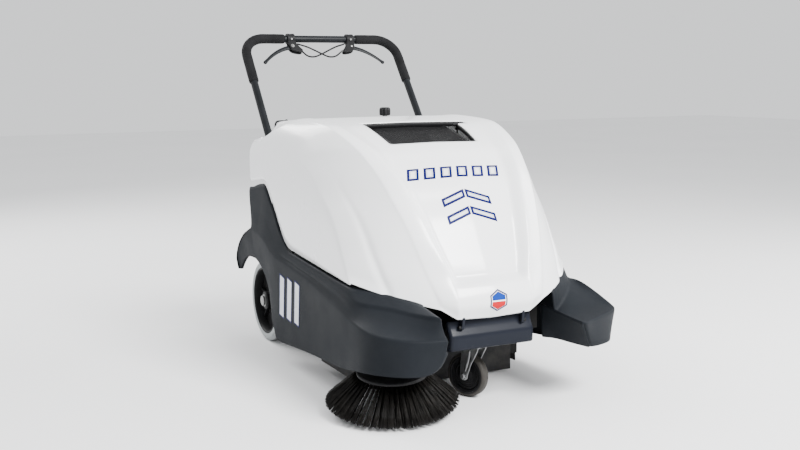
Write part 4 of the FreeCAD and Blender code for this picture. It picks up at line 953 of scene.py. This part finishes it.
def build_intake():
    """Woven wire mesh in a rounded rim under the hood's opening."""
    points, faces = [], []
    for i in range(LONG_WIRES):
        x = GRILLE_RIGHT + i * LONG_PITCH
        weave = WEAVE if i % 2 else -WEAVE
        for y in np.linspace(GRILLE_FRONT, GRILLE_REAR - LONG_STEP, LONG_STEPS):
            wire(points, faces, grille_point(x, y, weave), grille_point(x, y + LONG_STEP, weave))
    for i in range(CROSS_WIRES):
        y = GRILLE_FRONT + 1 + i * CROSS_PITCH
        wire(points, faces, grille_point(GRILLE_RIGHT, y), grille_point(GRILLE_LEFT, y))
    piece("intake_mesh", points, faces, "plastic_black", "hood", replaces=["intake_grille"], sharp=20)
    right, left = GRILLE_RIGHT - RIM_MARGIN, GRILLE_LEFT + RIM_MARGIN
    corners = [(right, GRILLE_FRONT), (left, GRILLE_FRONT), (left, GRILLE_REAR), (right, GRILLE_REAR)]
    line = []
    for (x, y), (next_x, next_y) in zip(corners, corners[1:] + corners[:1]):
        line += [grille_point(x + (next_x - x) * share, y + (next_y - y) * share)
                 for share in (0.03, 0.25, 0.5, 0.75, 0.97)]
    swept("intake_rim", closed(line), RIM_R, "plastic_black", "hood", 10, caps=False)


def build_starter():
    """A loop grip on its rope, with a bar through it and a ferrule."""
    x, y, z = STARTER
    line = [(x + math.cos(a) * 15.5, y, z + math.sin(a) * 3.2) for a in np.linspace(0, 2 * math.pi, 25)]
    smoothed(swept("starter_loop", line, 3.1, "plastic_black", "starter", 12, ["starter_grip"], caps=False))
    bar = [(x + shift, y, z) for shift in (-21, -19, -14, -6, 0, 6, 14, 19, 21)]
    radii = [3.5, 5.6, 6.3, 5.7, 5.4, 5.7, 6.3, 5.6, 3.5]
    smoothed(swept("starter_bar", bar, radii, "plastic_black", "starter", 20))
    rope = [(x + ROPE_SHIFT, y, height) for height in np.linspace(ROPE_FOOT, ROPE_TOP, ROPE_POINTS)]
    radii = [2.3 + 0.15 * math.sin(i * 2.4) for i in range(ROPE_POINTS)]
    swept("starter_rope", rope, radii, "cable_black", "starter", 10)
    ferrule = [(0.01, -12), (4.6, -12), (5.4, -9), (5.4, -3), (4.4, 0), (0.01, 0)]
    foot = (x + ROPE_SHIFT, y, ROPE_TOP - 1)
    turned("starter_ferrule", ferrule, foot, (0, 0, 1), "plastic_black", "starter", 20)


SHAKER_X, SHAKER_Y = 108, 345
SHAKER_R, LOBES, LOBE_RISE = 17.3, 8, 1.6
# The knob's rings: height and share of its full radius.
SHAKER_RINGS = ((756, 0.80), (758, 0.97), (764, 1.0), (775, 1.0), (781, 0.93), (783.6, 0.74), (784, 0.35))


def build_shaker():
    """An eight-lobed knob on its stem."""
    points, sides = [], 96
    for z, share in SHAKER_RINGS:
        for i in range(sides):
            angle = 2 * math.pi * i / sides
            reach = (SHAKER_R + LOBE_RISE * math.cos(LOBES * (angle - math.pi / LOBES))) * share
            points.append((SHAKER_X + reach * math.cos(angle), SHAKER_Y + reach * math.sin(angle), z))
    top = (len(SHAKER_RINGS) - 1) * sides
    faces = cells(len(SHAKER_RINGS), sides, ring=True)
    faces += [tuple(range(sides - 1, -1, -1)), tuple(range(top, top + sides))]
    piece("shaker_star", points, faces, "plastic_black", "shaker", replaces=["shaker_knob"])
    stem = [(0.01, 640), (4.2, 640), (5, 642), (5, 748), (8.5, 751), (8.5, 757), (0.01, 757)]
    turned("shaker_stem", stem, (SHAKER_X, SHAKER_Y, 0), (0, 0, 1), "steel", "shaker", 24)


def build_throttle():
    """A cranked rod with a ball end, on an eye."""
    rod = [THROTTLE_PIVOT + Vector(bend) for bend in THROTTLE_BENDS]
    radii = [4.6, 4.0, 3.4, 3.4, 3.4, 3.3, 3.2, 3.2]
    smoothed(swept("throttle_rod", rod, radii, "tube_black", "throttle", 16, ["throttle_lever"]))
    eye = two_sided([(4.05, -6), (8.2, -6), (9, -5)])
    turned("throttle_eye", eye, THROTTLE_PIVOT, (1, 0, 0), "tube_black", "throttle", 32)
    ball = [(0.01, -6), (3.2, -5.2), (5.2, -3), (6, 0), (5.2, 3), (3.2, 5.2), (0.01, 6)]
    end = THROTTLE_PIVOT + Vector((40, 7, 42))
    turned("throttle_ball", ball, end, (1, 0, 0), "plastic_black", "throttle", 24, sharp=80)


# Clutch levers

LEVER_DROP = 35.0
BLADE_STEPS = 22
LEVER_TIP = Vector((224, 605, 938))
# The clamp's outlines, as (outward, away from the bar).
CHEEK = ((12.5, 8), (13.5, 22), (11.5, 32), (11.5, 40), (7, 48), (0, 53), (-10, 56), (-22, 58), (-31, 58),
         (-35, 55), (-35, 49), (-27, 40), (-19, 28), (-15, 20), (-13, 8))
WEB = ((11, 12), (12, 19), (8, 23), (-9, 23.5), (-15, 32), (-22, 41), (-30, 47), (-31, 43), (-22, 35),
       (-16, 24), (-12, 12))
ADJUSTER_OUT, ADJUSTER_AWAY = 31, 47.5
ADJUSTER_AIM = (78, 634, 977)
PIVOT_FACE = 11.0
ADJUSTER = ((0.01, -2), (4.4, -2), (4.4, 0), (3.6, 0.6), (3.6, 1.6), (4.8, 2), (4.8, 7), (3.4, 8),
            (2.7, 8.4), (2.7, 13), (0.01, 13))


def lever_frame(side):
    """The lever's pivot, the way along its pin, the way from the bar to the lever, and the way outwards."""
    away = Vector((0, LEVER_TIP.y - BAR_Y, LEVER_TIP.z - BAR_Z)).normalized()
    pivot = Vector((side * CLAMP_X, BAR_Y, BAR_Z)) + away * LEVER_DROP
    outward = Vector((side, 0, 0))
    return pivot, outward.cross(away), away, outward


def build_clamp(side):
    """A band round the bar, two cheeks with a web between, the lever's pin and the cable's adjuster."""
    word = WORD[side]
    pivot, axis, away, outward = lever_frame(side)
    bar = Vector((side * CLAMP_X, BAR_Y, BAR_Z))
    band = two_sided([(BAR_R, -14), (17.4, -14), (18.8, -12.5), (18.8, -4), (18.0, -3)])
    turned(f"clamp_band_{word}", band, bar, outward, "plastic_black", "handle", 48, [f"lever_clamp_{word}"])
    for face, level in ((1, "upper"), (-1, "lower")):
        place = (bar, outward, away, axis * face)
        slab(f"clamp_cheek_{word}_{level}", CHEEK, place, 4.4, PIVOT_FACE, "plastic_black", "handle", 2.0)
    slab(f"clamp_web_{word}", WEB, (bar, outward, away, axis), -4.6, 4.6, "plastic_black", "handle", 0.6)
    hex_bolt(f"clamp_pivot_{word}", pivot + axis * PIVOT_FACE, axis, 4.2, 2.6, "steel", "handle")
    dome(f"clamp_pivot_end_{word}", pivot - axis * PIVOT_FACE, -axis, 4.6, 2.2, "steel", "handle")
    root = bar - outward * ADJUSTER_OUT + away * ADJUSTER_AWAY
    aim_x, aim_y, aim_z = ADJUSTER_AIM
    way = (Vector((side * aim_x, aim_y, aim_z)) - root).normalized()
    turned(f"cable_adjuster_{word}", ADJUSTER, root, way, "steel", "handle", 18)
    screw = bar + Vector((0, -18.0, 0))
    hex_bolt(f"clamp_screw_{word}", screw, (0, -1, 0), 4.0, 2.8, "steel", "handle", washer=False)


def build_lever(side):
    """A flattened blade that narrows to a ball, on an eye round the clamp's pin."""
    word, body = WORD[side], f"clutch_lever_{WORD[side]}"
    pivot, axis, away, outward = lever_frame(side)
    tip = Vector((side * LEVER_TIP.x, LEVER_TIP.y, LEVER_TIP.z))
    knee, reach = outward * 56 + away * 6, tip - pivot
    shares = [(i + 1) / BLADE_STEPS for i in range(BLADE_STEPS)]
    line = [pivot + knee * (2 * t * (1 - t)) + reach * t * t for t in shares]
    radii = [float(8.8 - 3.6 * t + 2.0 * step_up(t, 0.93, 1.0)) for t in shares]
    smoothed(swept(f"lever_blade_{word}", line, radii, "tube_black", body, 20, [f"lever_{word}"], 0.46, axis))
    eye = two_sided([(3.1, -4), (8.4, -4), (9, -3.4)])
    turned(f"lever_eye_{word}", eye, pivot, axis, "tube_black", body, 36)
    ball = [(0.01, -4.4), (3.6, -4.2), (6.0, -2.6), (6.9, 0), (6.0, 2.6), (3.6, 4.2), (0.01, 4.4)]
    turned(f"lever_ball_{word}", ball, tip, axis, "tube_black", body, 28, sharp=80)


# Caster

CASTER_R, CASTER_HALF = 62.5, 16.0
CASTER_PIVOT = Vector((4, -440, 0))
CASTER_TRAIL, CASTER_TURN = 22.0, math.radians(26)
# One face of the hub disc, as (radius, how far out), from its rim to its bore.
HUB_FACE = ((53.2, 14.1), (51.5, 15), (49, 15), (47.5, 13), (45, 12.6), (43.5, 6), (42, 4), (40, 6),
            (36, 6.6), (34, 4), (27, 4.5), (25, 8), (20, 8.5), (18, 11.5), (17, 17), (5.1, 17.5))
# The fork leg's outline as (behind the pivot, height), its two faces, and its raised rib's radii.
CASTER_LEG = (
    (-27, 148.5), (27, 148.5), (28, 138), (33, 100),
    (CASTER_TRAIL + 13, CASTER_R + 4), (CASTER_TRAIL + 11, CASTER_R - 8), (CASTER_TRAIL + 4, CASTER_R - 12.5),
    (CASTER_TRAIL - 4, CASTER_R - 12.5), (CASTER_TRAIL - 11, CASTER_R - 8),
    (CASTER_TRAIL - 13.5, CASTER_R + 4), (-4, 100), (-24, 138),
)
LEG_INNER, LEG_OUTER = CASTER_HALF + 3.1, CASTER_HALF + 6.9
LEG_RIB = (2.5, 5.5, 6.5, 6.8, 6.5, 6, 5, 2.5)
CROWN = ((-28, -21), (-21, -28), (21, -28), (28, -21), (28, 21), (21, 28), (-21, 28), (-28, 21))
CROWN_NARROWING = 0.82


def caster_way(vector):
    """A direction given for the caster pointing straight ahead, turned as the caster is."""
    return Matrix.Rotation(CASTER_TURN, 3, "Z") @ Vector(vector)


def caster_spot(x, ahead, z):
    return CASTER_PIVOT + caster_way((x, ahead, z))


def build_caster_wheel(hub, axis):
    half = CASTER_HALF
    tyre = two_sided([(53, 1.6 - half), (56, 1.4 - half), (60, 4.5 - half), (CASTER_R, 9 - half)])
    band = turned("caster_tread_band", tyre, hub, axis, "caster_tread", "caster_wheel", 96, ["caster_tyre"])
    bevelled(band, 1.2, 2, 20)
    other_face = [(radius, -out) for radius, out in reversed(HUB_FACE)]
    profile = closed([(53.4, -3), (53.4, 3), *HUB_FACE, *other_face])
    turned("caster_hub_disc", profile, hub, axis, "plastic_black", "caster_wheel", 80, ["caster_hub"])


def build_caster_leg(side, hub):
    """A pressed leg with its rib, and the axle's nut and end."""
    word, half, body = WORD[side], CASTER_HALF, "caster_swivel"
    normal = caster_way((side, 0, 0))
    place = (CASTER_PIVOT, caster_way((0, 1, 0)), (0, 0, 1), normal)
    slab(f"caster_leg_{word}", CASTER_LEG, place, LEG_INNER, LEG_OUTER, "chrome", body, 1.4)
    rib = [caster_spot(side * (half + 6.2), 2 + k * 2.4, 140 - k * 9.5) for k in range(8)]
    pressed = swept(f"caster_leg_rib_{word}", rib, LEG_RIB, "chrome", body, 12, (), 0.42, normal)
    smoothed(pressed)
    hex_bolt(f"caster_axle_nut_{word}", hub + normal * (half + 7), normal, 7.6, 5.6, "chrome", body)
    dome(f"caster_axle_end_{word}", hub + normal * (half + 12.2), normal, 4.4, 1.6, "chrome", body)


def build_caster():
    hub = caster_spot(0, CASTER_TRAIL, CASTER_R)
    build_caster_wheel(hub, caster_way((1, 0, 0)))
    for side in (LEFT, RIGHT):
        build_caster_leg(side, hub)
    crown = [(across * CROWN_NARROWING, along) for across, along in CROWN]
    place = (CASTER_PIVOT, caster_way((1, 0, 0)), caster_way((0, 1, 0)), (0, 0, 1))
    slab("caster_crown", crown, place, 146, 149.8, "chrome", "caster_swivel", 1.6, ["caster_fork"])
    race = [(7.2, 149), (26.2, 149), (27, 150.2), (27, 154), (25.4, 156), (22, 157.4), (7.2, 157.4)]
    turned("caster_race", closed(race), CASTER_PIVOT, (0, 0, 1), "chrome", "caster_swivel", 56)
    end = CASTER_HALF + 3
    axle = [(0.01, -end), (5, -end), (5, end), (0.01, end)]
    turned("caster_axle", axle, hub, caster_way((1, 0, 0)), "steel", "caster_swivel", 24)


# Main brush

BRUSH_Y, BRUSH_Z, BRUSH_R, BRUSH_CORE_R, BRUSH_HALF = -110.0, 132.0, 128.0, 45.0, 240.0
MAIN_ROWS, MAIN_TUFTS, MAIN_STRANDS, MAIN_PITCH, MAIN_STRAND_R = 8, 58, 5, 8.18, 1.3


def around_brush(x, angle, radius):
    return Vector((x, BRUSH_Y + math.sin(angle) * radius, BRUSH_Z + math.cos(angle) * radius))


def main_strand(x, angle):
    """One filament's root, middle and tip, near a tuft at x in the row at an angle."""
    root_angle = angle + RANDOM.uniform(-2.6, 2.6) / BRUSH_CORE_R
    tip_angle = angle + RANDOM.uniform(-4.6, 4.6) / BRUSH_R
    tip_x = min(max(x + RANDOM.gauss(0, 2.2), -BRUSH_HALF + 5), BRUSH_HALF - 5)
    reach = BRUSH_R - RANDOM.uniform(0.6, 5)
    root = around_brush(x + RANDOM.uniform(-2.5, 2.5), root_angle, BRUSH_CORE_R - 0.5)
    tip = around_brush(tip_x, tip_angle, reach)
    return root, (root + tip) / 2 + Vector((0, 0.6, 0)), tip


def build_main_brush():
    """Eight rows of tufts, set straight along the core, with each row's strands fanned a little."""
    lines = []
    for row in range(MAIN_ROWS):
        angle = math.radians(360 / MAIN_ROWS * row)
        for tuft in range(MAIN_TUFTS):
            x = -BRUSH_HALF + 8 + tuft * MAIN_PITCH
            lines += [main_strand(x, angle) for _ in range(MAIN_STRANDS)]
    strands("main_bristles", lines, MAIN_STRAND_R, "bristle_main", "main_brush", ["brush_bristles"], 2)


# Hood hinge

HINGE_ARM = ((-547, 234), (-545, 227), (-540, 224.5), (-535, 227), (-533, 234), (-532, 262), (-520, 292),
             (-519, 299), (-528, 305), (-537, 302), (-550, 274), (-549, 252))


def build_hinges():
    """Cranked arms from inside the nose down to the hinge pins."""
    for side, word in WORD.items():
        replaced = ["hood_hinge"] if side == RIGHT else ()
        plate(f"hood_hinge_arm_{word}", HINGE_ARM, side * 89, side * 97, "bumper_paint", "hood", 1.4,
              replaced)
        pin = (side * 97.2, -540, 232)
        dome(f"hood_hinge_pin_{word}", pin, (side, 0, 0), 5.4, 2.2, "bumper_paint", "hood")


# Cables, rear panel, hopper and engine details

# One cable's knots, from one clamp's adjuster to the other clamp: across, behind its start, and height.
CABLE_R = 2.9
CABLE_KNOTS = ((-80, 0, 979), (-56, 0, 961), (-30, 0, 958), (-2, 0, 968), (26, 2, 981), (54, 6, 993),
               (88, 10, 1003))


def build_cables():
    """The two clutch cables that cross under the bar."""
    for number, (side, y) in enumerate(((1, 632), (-1, 640))):
        line = through([(side * across, y + back, z) for across, back, z in CABLE_KNOTS], 8)
        replaced = ["control_cables"] if number == 0 else ()
        swept(f"clutch_cable_{number}", line, CABLE_R, "cable_black", "handle", 12, replaced)


COVER = ((-152, 412), (-160, 420), (-160, 546), (-152, 554), (152, 554), (160, 546), (160, 420), (152, 412))
COVER_BACK, COVER_FACE = 456.5, 460.5
BEAD = ((458, 380), (458.5, 470), (458, 566), (436, 612), (394, 652), (350, 694))
HOPPER_RIM = ((179, 120), (179, 545), (166, 560), (-166, 560), (-179, 545), (-179, 120))


def raised_rib(name, line, radii, paint, body="root", sides=12, **options):
    """A smooth raised rib along a line, with tapered ends."""
    smoothed(swept(name, line, radii, paint, body, sides, **options))


def build_rear_details():
    """A louvred cover and beads on the rear panel, and the hopper's ribs and rim."""
    place = ((0, 0, 0), (1, 0, 0), (0, 0, 1), (0, 1, 0))
    slab("rear_cover", COVER, place, COVER_BACK, COVER_FACE, "fairing_grey", "root", 1.6)
    for i in range(7):
        line = [(x, COVER_FACE, 436 + i * 16) for x in (-118, -114, -60, 0, 60, 114, 118)]
        radii = [1.5, 4.6, 5, 5, 5, 4.6, 1.5]
        raised_rib(f"rear_louvre_{i}", line, radii, "fairing_grey", sides=16, flatten=0.62,
                   flat_side=(0, 1, 0))
    for i, (x, z) in enumerate(((-148, 424), (148, 424), (-148, 542), (148, 542))):
        dome(f"rear_screw_{i}", (x, COVER_FACE, z), (0, 1, 0), 4.6, 2.4, "steel")
    for i, x in enumerate((-243, 243)):
        raised_rib(f"rear_bead_{i}", [(x, *point) for point in BEAD], [2, 4, 4, 4, 4, 2], "fairing_grey")
    for i, x in enumerate((-150, -104, 104, 150)):
        line = [(x, 560.5, z) for z in (172, 178, 220, 262, 304, 310)]
        raised_rib(f"hopper_rib_{i}", line, [2, 4.6, 5, 5, 4.6, 2], "fairing_grey", "hopper", 14)
    swept("hopper_rim", [(x, y, 317) for x, y in HOPPER_RIM], 3.4, "fairing_grey", "hopper", 12)


PLUG = ((0.01, -2), (9, -2), (9, 3), (6, 4), (6, 14), (8.5, 15), (8.5, 27), (7, 31), (0.01, 31))
PLUG_LEAD = ((0, -106, 638), (-20, -112, 640), (-50, -100, 618), (-64, -76, 570), (-70, -60, 545))
RECOIL_CAP = ((0.01, 7), (12, 7), (16, 5.5), (34, 4.5), (38, 2), (40, 0), (0.01, 0))
CLEANER_KNOB = ((0.01, -2), (5, -2), (5, 3), (12, 4), (13, 6), (13, 12), (11, 14), (0.01, 14))
TANK_CORNERS = ((160, 154), (80, 154), (80, 62), (160, 62))


def tank_seam():
    """The line of the tank's seam, round its four corners and closed."""
    line = []
    for quarter, (x, y) in enumerate(TANK_CORNERS):
        angles = [math.radians(90 * quarter + step) for step in range(0, 91, 18)]
        line += [(x + 22 * math.cos(a), y + 22 * math.sin(a), 590) for a in angles]
    return closed(line)


def build_engine_details():
    """Head bolts, plug and lead, the starter's cover, the tank's seam, the cleaner's knob, muffler ribs."""
    for i, (x, y) in enumerate(((-38, -70), (38, -70), (-38, 10), (38, 10))):
        hex_bolt(f"head_bolt_{i}", (x, y, 640), (0, 0, 1), 5.5, 5.0, "steel")
    turned("spark_plug", PLUG, (0, -80, 631), (0, -1, 0.25), "plastic_black", "root", 24)
    swept("spark_lead", through(PLUG_LEAD, 6), 3.2, "cable_black", "root", 12)
    turned("recoil_cap", RECOIL_CAP, (-124, -30, 470), (-1, 0, 0), "plastic_black", "root", 48)
    for i, radius in enumerate((48, 72, 84)):
        line = [(-124.2, -30 + radius * math.cos(a), 470 + radius * math.sin(a))
                for a in np.linspace(0, 2 * math.pi, 61)]
        swept(f"recoil_ring_{i}", line, 1.8, "plastic_black", "root", 8, caps=False)
    swept("tank_seam", tank_seam(), 2.6, "plastic_black", "root", 10, caps=False)
    turned("cleaner_knob", CLEANER_KNOB, (107, -90, 620), (0, 0, 1), "plastic_black", "root", 24)
    for i, z in enumerate((556, 572, 588)):
        line = [(x, -160.3, z) for x in (-134, -130, -104, -78, -74)]
        raised_rib(f"muffler_rib_{i}", line, [1, 3.2, 3.6, 3.2, 1], "engine_iron")


# Printed marks

PRINT_LIFT, FILL_LIFT, PRINT_SINK = 0.7, 0.6, 0.3
PRINT_REACH = 90
# How far in from a shape's outline its navy line ends, and then its pale line.
LINE_WIDTH, FILL_WIDTH = 7.2, 11.0
BAR_EDGE = 4.4
HEXAGON_R = 30
STRIPES, STRIPE_START, STRIPE_PITCH = 6, -150, 51
ARROW_BASES = (-50, 4)
BAR_LEFTS = (-98, -34, 30)
# Flat frames the marks are drawn in before they are cast onto a surface: origin, across and up.
UPPER_PLACE = ((0, -332, 620), (1, 0, 0), (0, 0.75, 0.6614))
MIDDLE_PLACE = ((0, -409, 536), (1, 0, 0), (0, 0.56, 0.8285))
NOSE_PLACE = ((5, -566, 299), (1, 0, 0), (0, 0, 1))
FLANK_PLACE = ((-330, 62, 222), (0, -1, 0), (0, 0, 1))


def surface_of(obj):
    """A finished piece's outer surface, for laying marks on."""
    return BVHTree.FromObject(obj, bpy.context.evaluated_depsgraph_get())


def cast(rows, place, surface, lift):
    """Pairs of points, over and under a surface, for rows of (across, up) lengths in a flat frame."""
    origin, across, up = (Vector(v) for v in place)
    inward = up.cross(across).normalized()
    points = []
    for a, b in (pair for row in rows for pair in row):
        start = at(origin + across * a + up * b - inward * PRINT_REACH)
        spot, normal, _, _ = surface.ray_cast(start, inward)
        if normal.dot(inward) > 0:
            normal = -normal
        base = (spot - at((0, 0, 0))) / MM
        points += [base + normal * lift, base - normal * PRINT_SINK]
    return points


def laid(name, rows, place, surface, paint, body, ring=False, lift=PRINT_LIFT):
    """A thin print on a surface: rows of (across, up) lengths, cast inwards from the place's flat frame."""
    count, faces = len(rows[0]), []
    for r in range(len(rows) - 1):
        for c in range(count if ring else count - 1):
            a, b = 2 * (r * count + c), 2 * (r * count + (c + 1) % count)
            d, e = a + 2 * count, b + 2 * count
            faces += [(a, b, e, d), (a + 1, d + 1, e + 1, b + 1)]
            if r == 0:
                faces.append((a, a + 1, b + 1, b))
            if r == len(rows) - 2:
                faces.append((d, e, e + 1, d + 1))
        if not ring:
            a = 2 * r * count
            b, d, e = a + 2 * (count - 1), a + 2 * count, a + 2 * (2 * count - 1)
            faces += [(a, d, d + 1, a + 1), (b, b + 1, e + 1, e)]
    return piece(name, cast(rows, place, surface, lift), faces, paint, body, sharp=30)


def slanted(corners, rows, columns):
    """A grid over a four-cornered shape: corners run lower left, lower right, upper right, upper left."""
    low_left, low_right, high_right, high_left = (np.array(c, float) for c in corners)
    grid = []
    for v in np.linspace(0, 1, rows):
        start, end = low_left + (high_left - low_left) * v, low_right + (high_right - low_right) * v
        grid.append([tuple(start + (end - start) * u) for u in np.linspace(0, 1, columns)])
    return grid


def inset(outline, width):
    """A convex outline moved inwards by a width."""
    middle = sum(outline) / len(outline)
    inner = []
    for i, point in enumerate(outline):
        ways = [point - outline[i - 1], outline[(i + 1) % len(outline)] - point]
        ways = [way / np.linalg.norm(way) for way in ways]
        normals = [np.array((-way[1], way[0])) for way in ways]
        normals = [n if n.dot(middle - point) > 0 else -n for n in normals]
        across = normals[0] + normals[1]
        inner.append(point + across * width / across.dot(normals[0]))
    return inner


def frame_rows(outline, width, step=7.0):
    """Two rings, one on the outline and one width inside it, for a line drawn round a convex shape."""
    outline = [np.array(point, float) for point in outline]
    ends = outline[1:] + outline[:1]
    counts = [max(2, int(np.linalg.norm(end - start) / step)) for start, end in zip(outline, ends)]
    rings = []
    for ring in (outline, inset(outline, width)):
        points = []
        for start, end, count in zip(ring, ring[1:] + ring[:1], counts):
            points += [tuple(start + (end - start) * k / count) for k in range(count)]
        rings.append(points)
    return rings


def outlined(name, corners, place, skin):
    """A navy line round a shape on the hood, and a pale line inside it."""
    line = frame_rows(corners, LINE_WIDTH)
    laid(f"{name}_line", line, place, skin, "print_navy", "hood", ring=True)
    fill = [line[1], frame_rows(corners, FILL_WIDTH)[1]]
    laid(f"{name}_fill", fill, place, skin, "print_pale", "hood", ring=True)


def build_hood_marks(skin):
    for i in range(STRIPES):
        left = STRIPE_START + i * STRIPE_PITCH
        outlined(f"stripe_{i}", [(left - 8, -22), (left + 28, -22), (left + 44, 22), (left + 8, 22)],
                 UPPER_PLACE, skin)
    for i, base in enumerate(ARROW_BASES):
        for side, word in WORD.items():
            inner, outer = side * 2, side * 76
            corners = [(outer, base - 4), (inner, base + 22), (inner, base + 48), (outer, base + 22)]
            outlined(f"arrow_{i}_{word}", corners, MIDDLE_PLACE, skin)
    angles = [math.radians(degrees) for degrees in range(30, 390, 60)]
    rim = frame_rows([(HEXAGON_R * math.cos(a), HEXAGON_R * math.sin(a)) for a in angles], 3.4, 3.0)
    laid("badge_rim", rim, NOSE_PLACE, skin, "print_navy", "hood", ring=True)
    for word, turn, paint in (("upper", 1, "badge_blue"), ("lower", -1, "badge_red")):
        rows = [[(x, turn * (2 + (22 - abs(x) * 0.55) * k / 4)) for x in np.linspace(-20, 20, 17)]
                for k in range(5)]
        laid(f"badge_{word}", rows, NOSE_PLACE, skin, paint, "hood")


def build_marks(hood, fairing):
    """Plain stripes, arrows and a two-colour hexagon on the hood, and three bars on the right flank."""
    build_hood_marks(surface_of(hood))
    panel = surface_of(fairing)
    for i, left in enumerate(BAR_LEFTS):
        edge = frame_rows([(left, -70), (left + 42, -76), (left + 64, 58), (left + 22, 66)], BAR_EDGE)
        laid(f"side_bar_{i}_edge", edge, FLANK_PLACE, panel, "print_navy", "root", ring=True)
        inside = [(left + 4.2, -66.5), (left + 39.6, -71.5), (left + 60, 55), (left + 24.6, 61.5)]
        fill = slanted(inside, 14, 6)
        laid(f"side_bar_{i}", fill, FLANK_PLACE, panel, "print_pale", "root", lift=FILL_LIFT)


# Stage

FLOOR_HALF = 14.0


def build_stage():
    mesh = bpy.data.meshes.new("floor")
    corners = ((-1, -1), (1, -1), (1, 1), (-1, 1))
    mesh.from_pydata([(x * FLOOR_HALF, y * FLOOR_HALF, 0) for x, y in corners], [], [(0, 1, 2, 3)])
    floor_object = bpy.data.objects.new("floor", mesh)
    bpy.context.scene.collection.objects.link(floor_object)
    material, tree, shader, place = new_material("floor_pale")
    cloud = noise(tree, place, 0.8)
    colour = mottled(tree, cloud, (0.9, 0.9, 0.9), (0.87, 0.87, 0.875))
    tree.links.new(colour, shader.inputs["Base Color"])
    tree.links.new(span(tree, cloud, 0.7, 0.85), shader.inputs["Roughness"])
    mesh.materials.append(material)


def area_light(name, place, aim, size, watts):
    data = bpy.data.lights.new(name, "AREA")
    data.shape = "RECTANGLE"
    data.size, data.size_y = size
    data.energy = watts
    light = bpy.data.objects.new(name, data)
    light.location = place
    light.rotation_euler = (Vector(aim) - Vector(place)).to_track_quat("-Z", "Y").to_euler()
    bpy.context.scene.collection.objects.link(light)


def build_lights():
    world = bpy.data.worlds.new("studio")
    world.use_nodes = True
    background = world.node_tree.nodes["Background"]
    background.inputs["Color"].default_value = (0.97, 0.985, 1.0, 1.0)
    background.inputs["Strength"].default_value = 1.15
    bpy.context.scene.world = world
    area_light("key", (1.0, -3.3, 3.3), (0, -0.1, 0.4), (2.0, 1.6), 500)
    area_light("side", (3.4, -0.6, 2.0), (0, 0, 0.4), (2.0, 2.0), 90)
    area_light("rear", (-1.4, 3.4, 2.8), (0, 0, 0.5), (2.2, 1.8), 150)


CAMERA_PLACE = (-1.4182, -2.9122, 0.8980)
CAMERA_YAW, CAMERA_DOWN, CAMERA_ROLL = 26.28455, 8.17466, -0.36115
CAMERA_LENS = 47.542


def build_camera():
    yaw, down, roll = (math.radians(a) for a in (CAMERA_YAW, CAMERA_DOWN, CAMERA_ROLL))
    ahead = Vector((math.sin(yaw) * math.cos(down), math.cos(yaw) * math.cos(down), -math.sin(down)))
    side = Vector((math.cos(yaw), -math.sin(yaw), 0))
    above = side.cross(ahead)
    right = side * math.cos(roll) + above * math.sin(roll)
    up = above * math.cos(roll) - side * math.sin(roll)
    data = bpy.data.cameras.new("camera")
    data.sensor_width = 36.0
    data.lens = CAMERA_LENS
    data.clip_end = 60.0
    camera = bpy.data.objects.new("camera", data)
    turn = Matrix((right, up, -ahead)).transposed().to_4x4()
    camera.matrix_world = Matrix.Translation(CAMERA_PLACE) @ turn
    bpy.context.scene.collection.objects.link(camera)
    bpy.context.scene.camera = camera


# Carried CAD nodes

NODE_SLOT = {part["node"]: part["material_slot"] for part in frame["record"]["subparts"]}
WELD_REACH = 1e-5
# How wide the softened edges of folded and cast nodes are.
SOFT_EDGES = {
    "chassis_frame": 1.2, "rear_panel": 1.4, "brush_tunnel": 1.2, "engine_plate": 1.0, "handle_brackets": 1.2,
    "caster_plate": 1.0, "engine_block": 1.4, "engine_shroud": 1.6, "gearbox": 1.0, "starter_guide": 0.8,
    "hopper_rails": 0.8, "frame_bolts": 0.9, "cross_flaps": 0.8, "side_flaps": 0.8, "side_brush_arm": 1.2,
    "hopper_bin": 1.4, "hopper_latch": 1.4, "brush_core": 1.0, "crank_pulleys": 0.8, "fan_housing": 1.2,
    "panel_filter": 0.8, "fuel_cap": 1.2, "rear_axle": 0.8, "bearings": 0.8, "drive_chain": 0.8,
    "brush_belt": 0.8, "fan_belt": 0.8,
}


def dress_nodes():
    """Every CAD node gets its slot's material, and the folded and cast ones get softened edges."""
    for node_name, node in frame["nodes"].items():
        node.data.materials.clear()
        node.data.materials.append(PAINT[NODE_SLOT[node_name]])
        if node_name in SOFT_EDGES:
            modifier(node, "WELD", merge_threshold=WELD_REACH)
            bevelled(node, SOFT_EDGES[node_name], 2, 30.0)


build_camera()
build_stage()
build_lights()
dress_nodes()
hood_piece = build_hood()
right_fairing = build_fairing(RIGHT)
build_fairing(LEFT)
build_bumper()
build_side_brush()
build_rear_wheel(RIGHT)
build_rear_wheel(LEFT)
build_grips()
build_intake()
build_starter()
build_shaker()
build_throttle()
for machine_side in (RIGHT, LEFT):
    build_clamp(machine_side)
    build_lever(machine_side)
build_caster()
build_main_brush()
build_hinges()
build_cables()
build_rear_details()
build_engine_details()
build_marks(hood_piece, right_fairing)
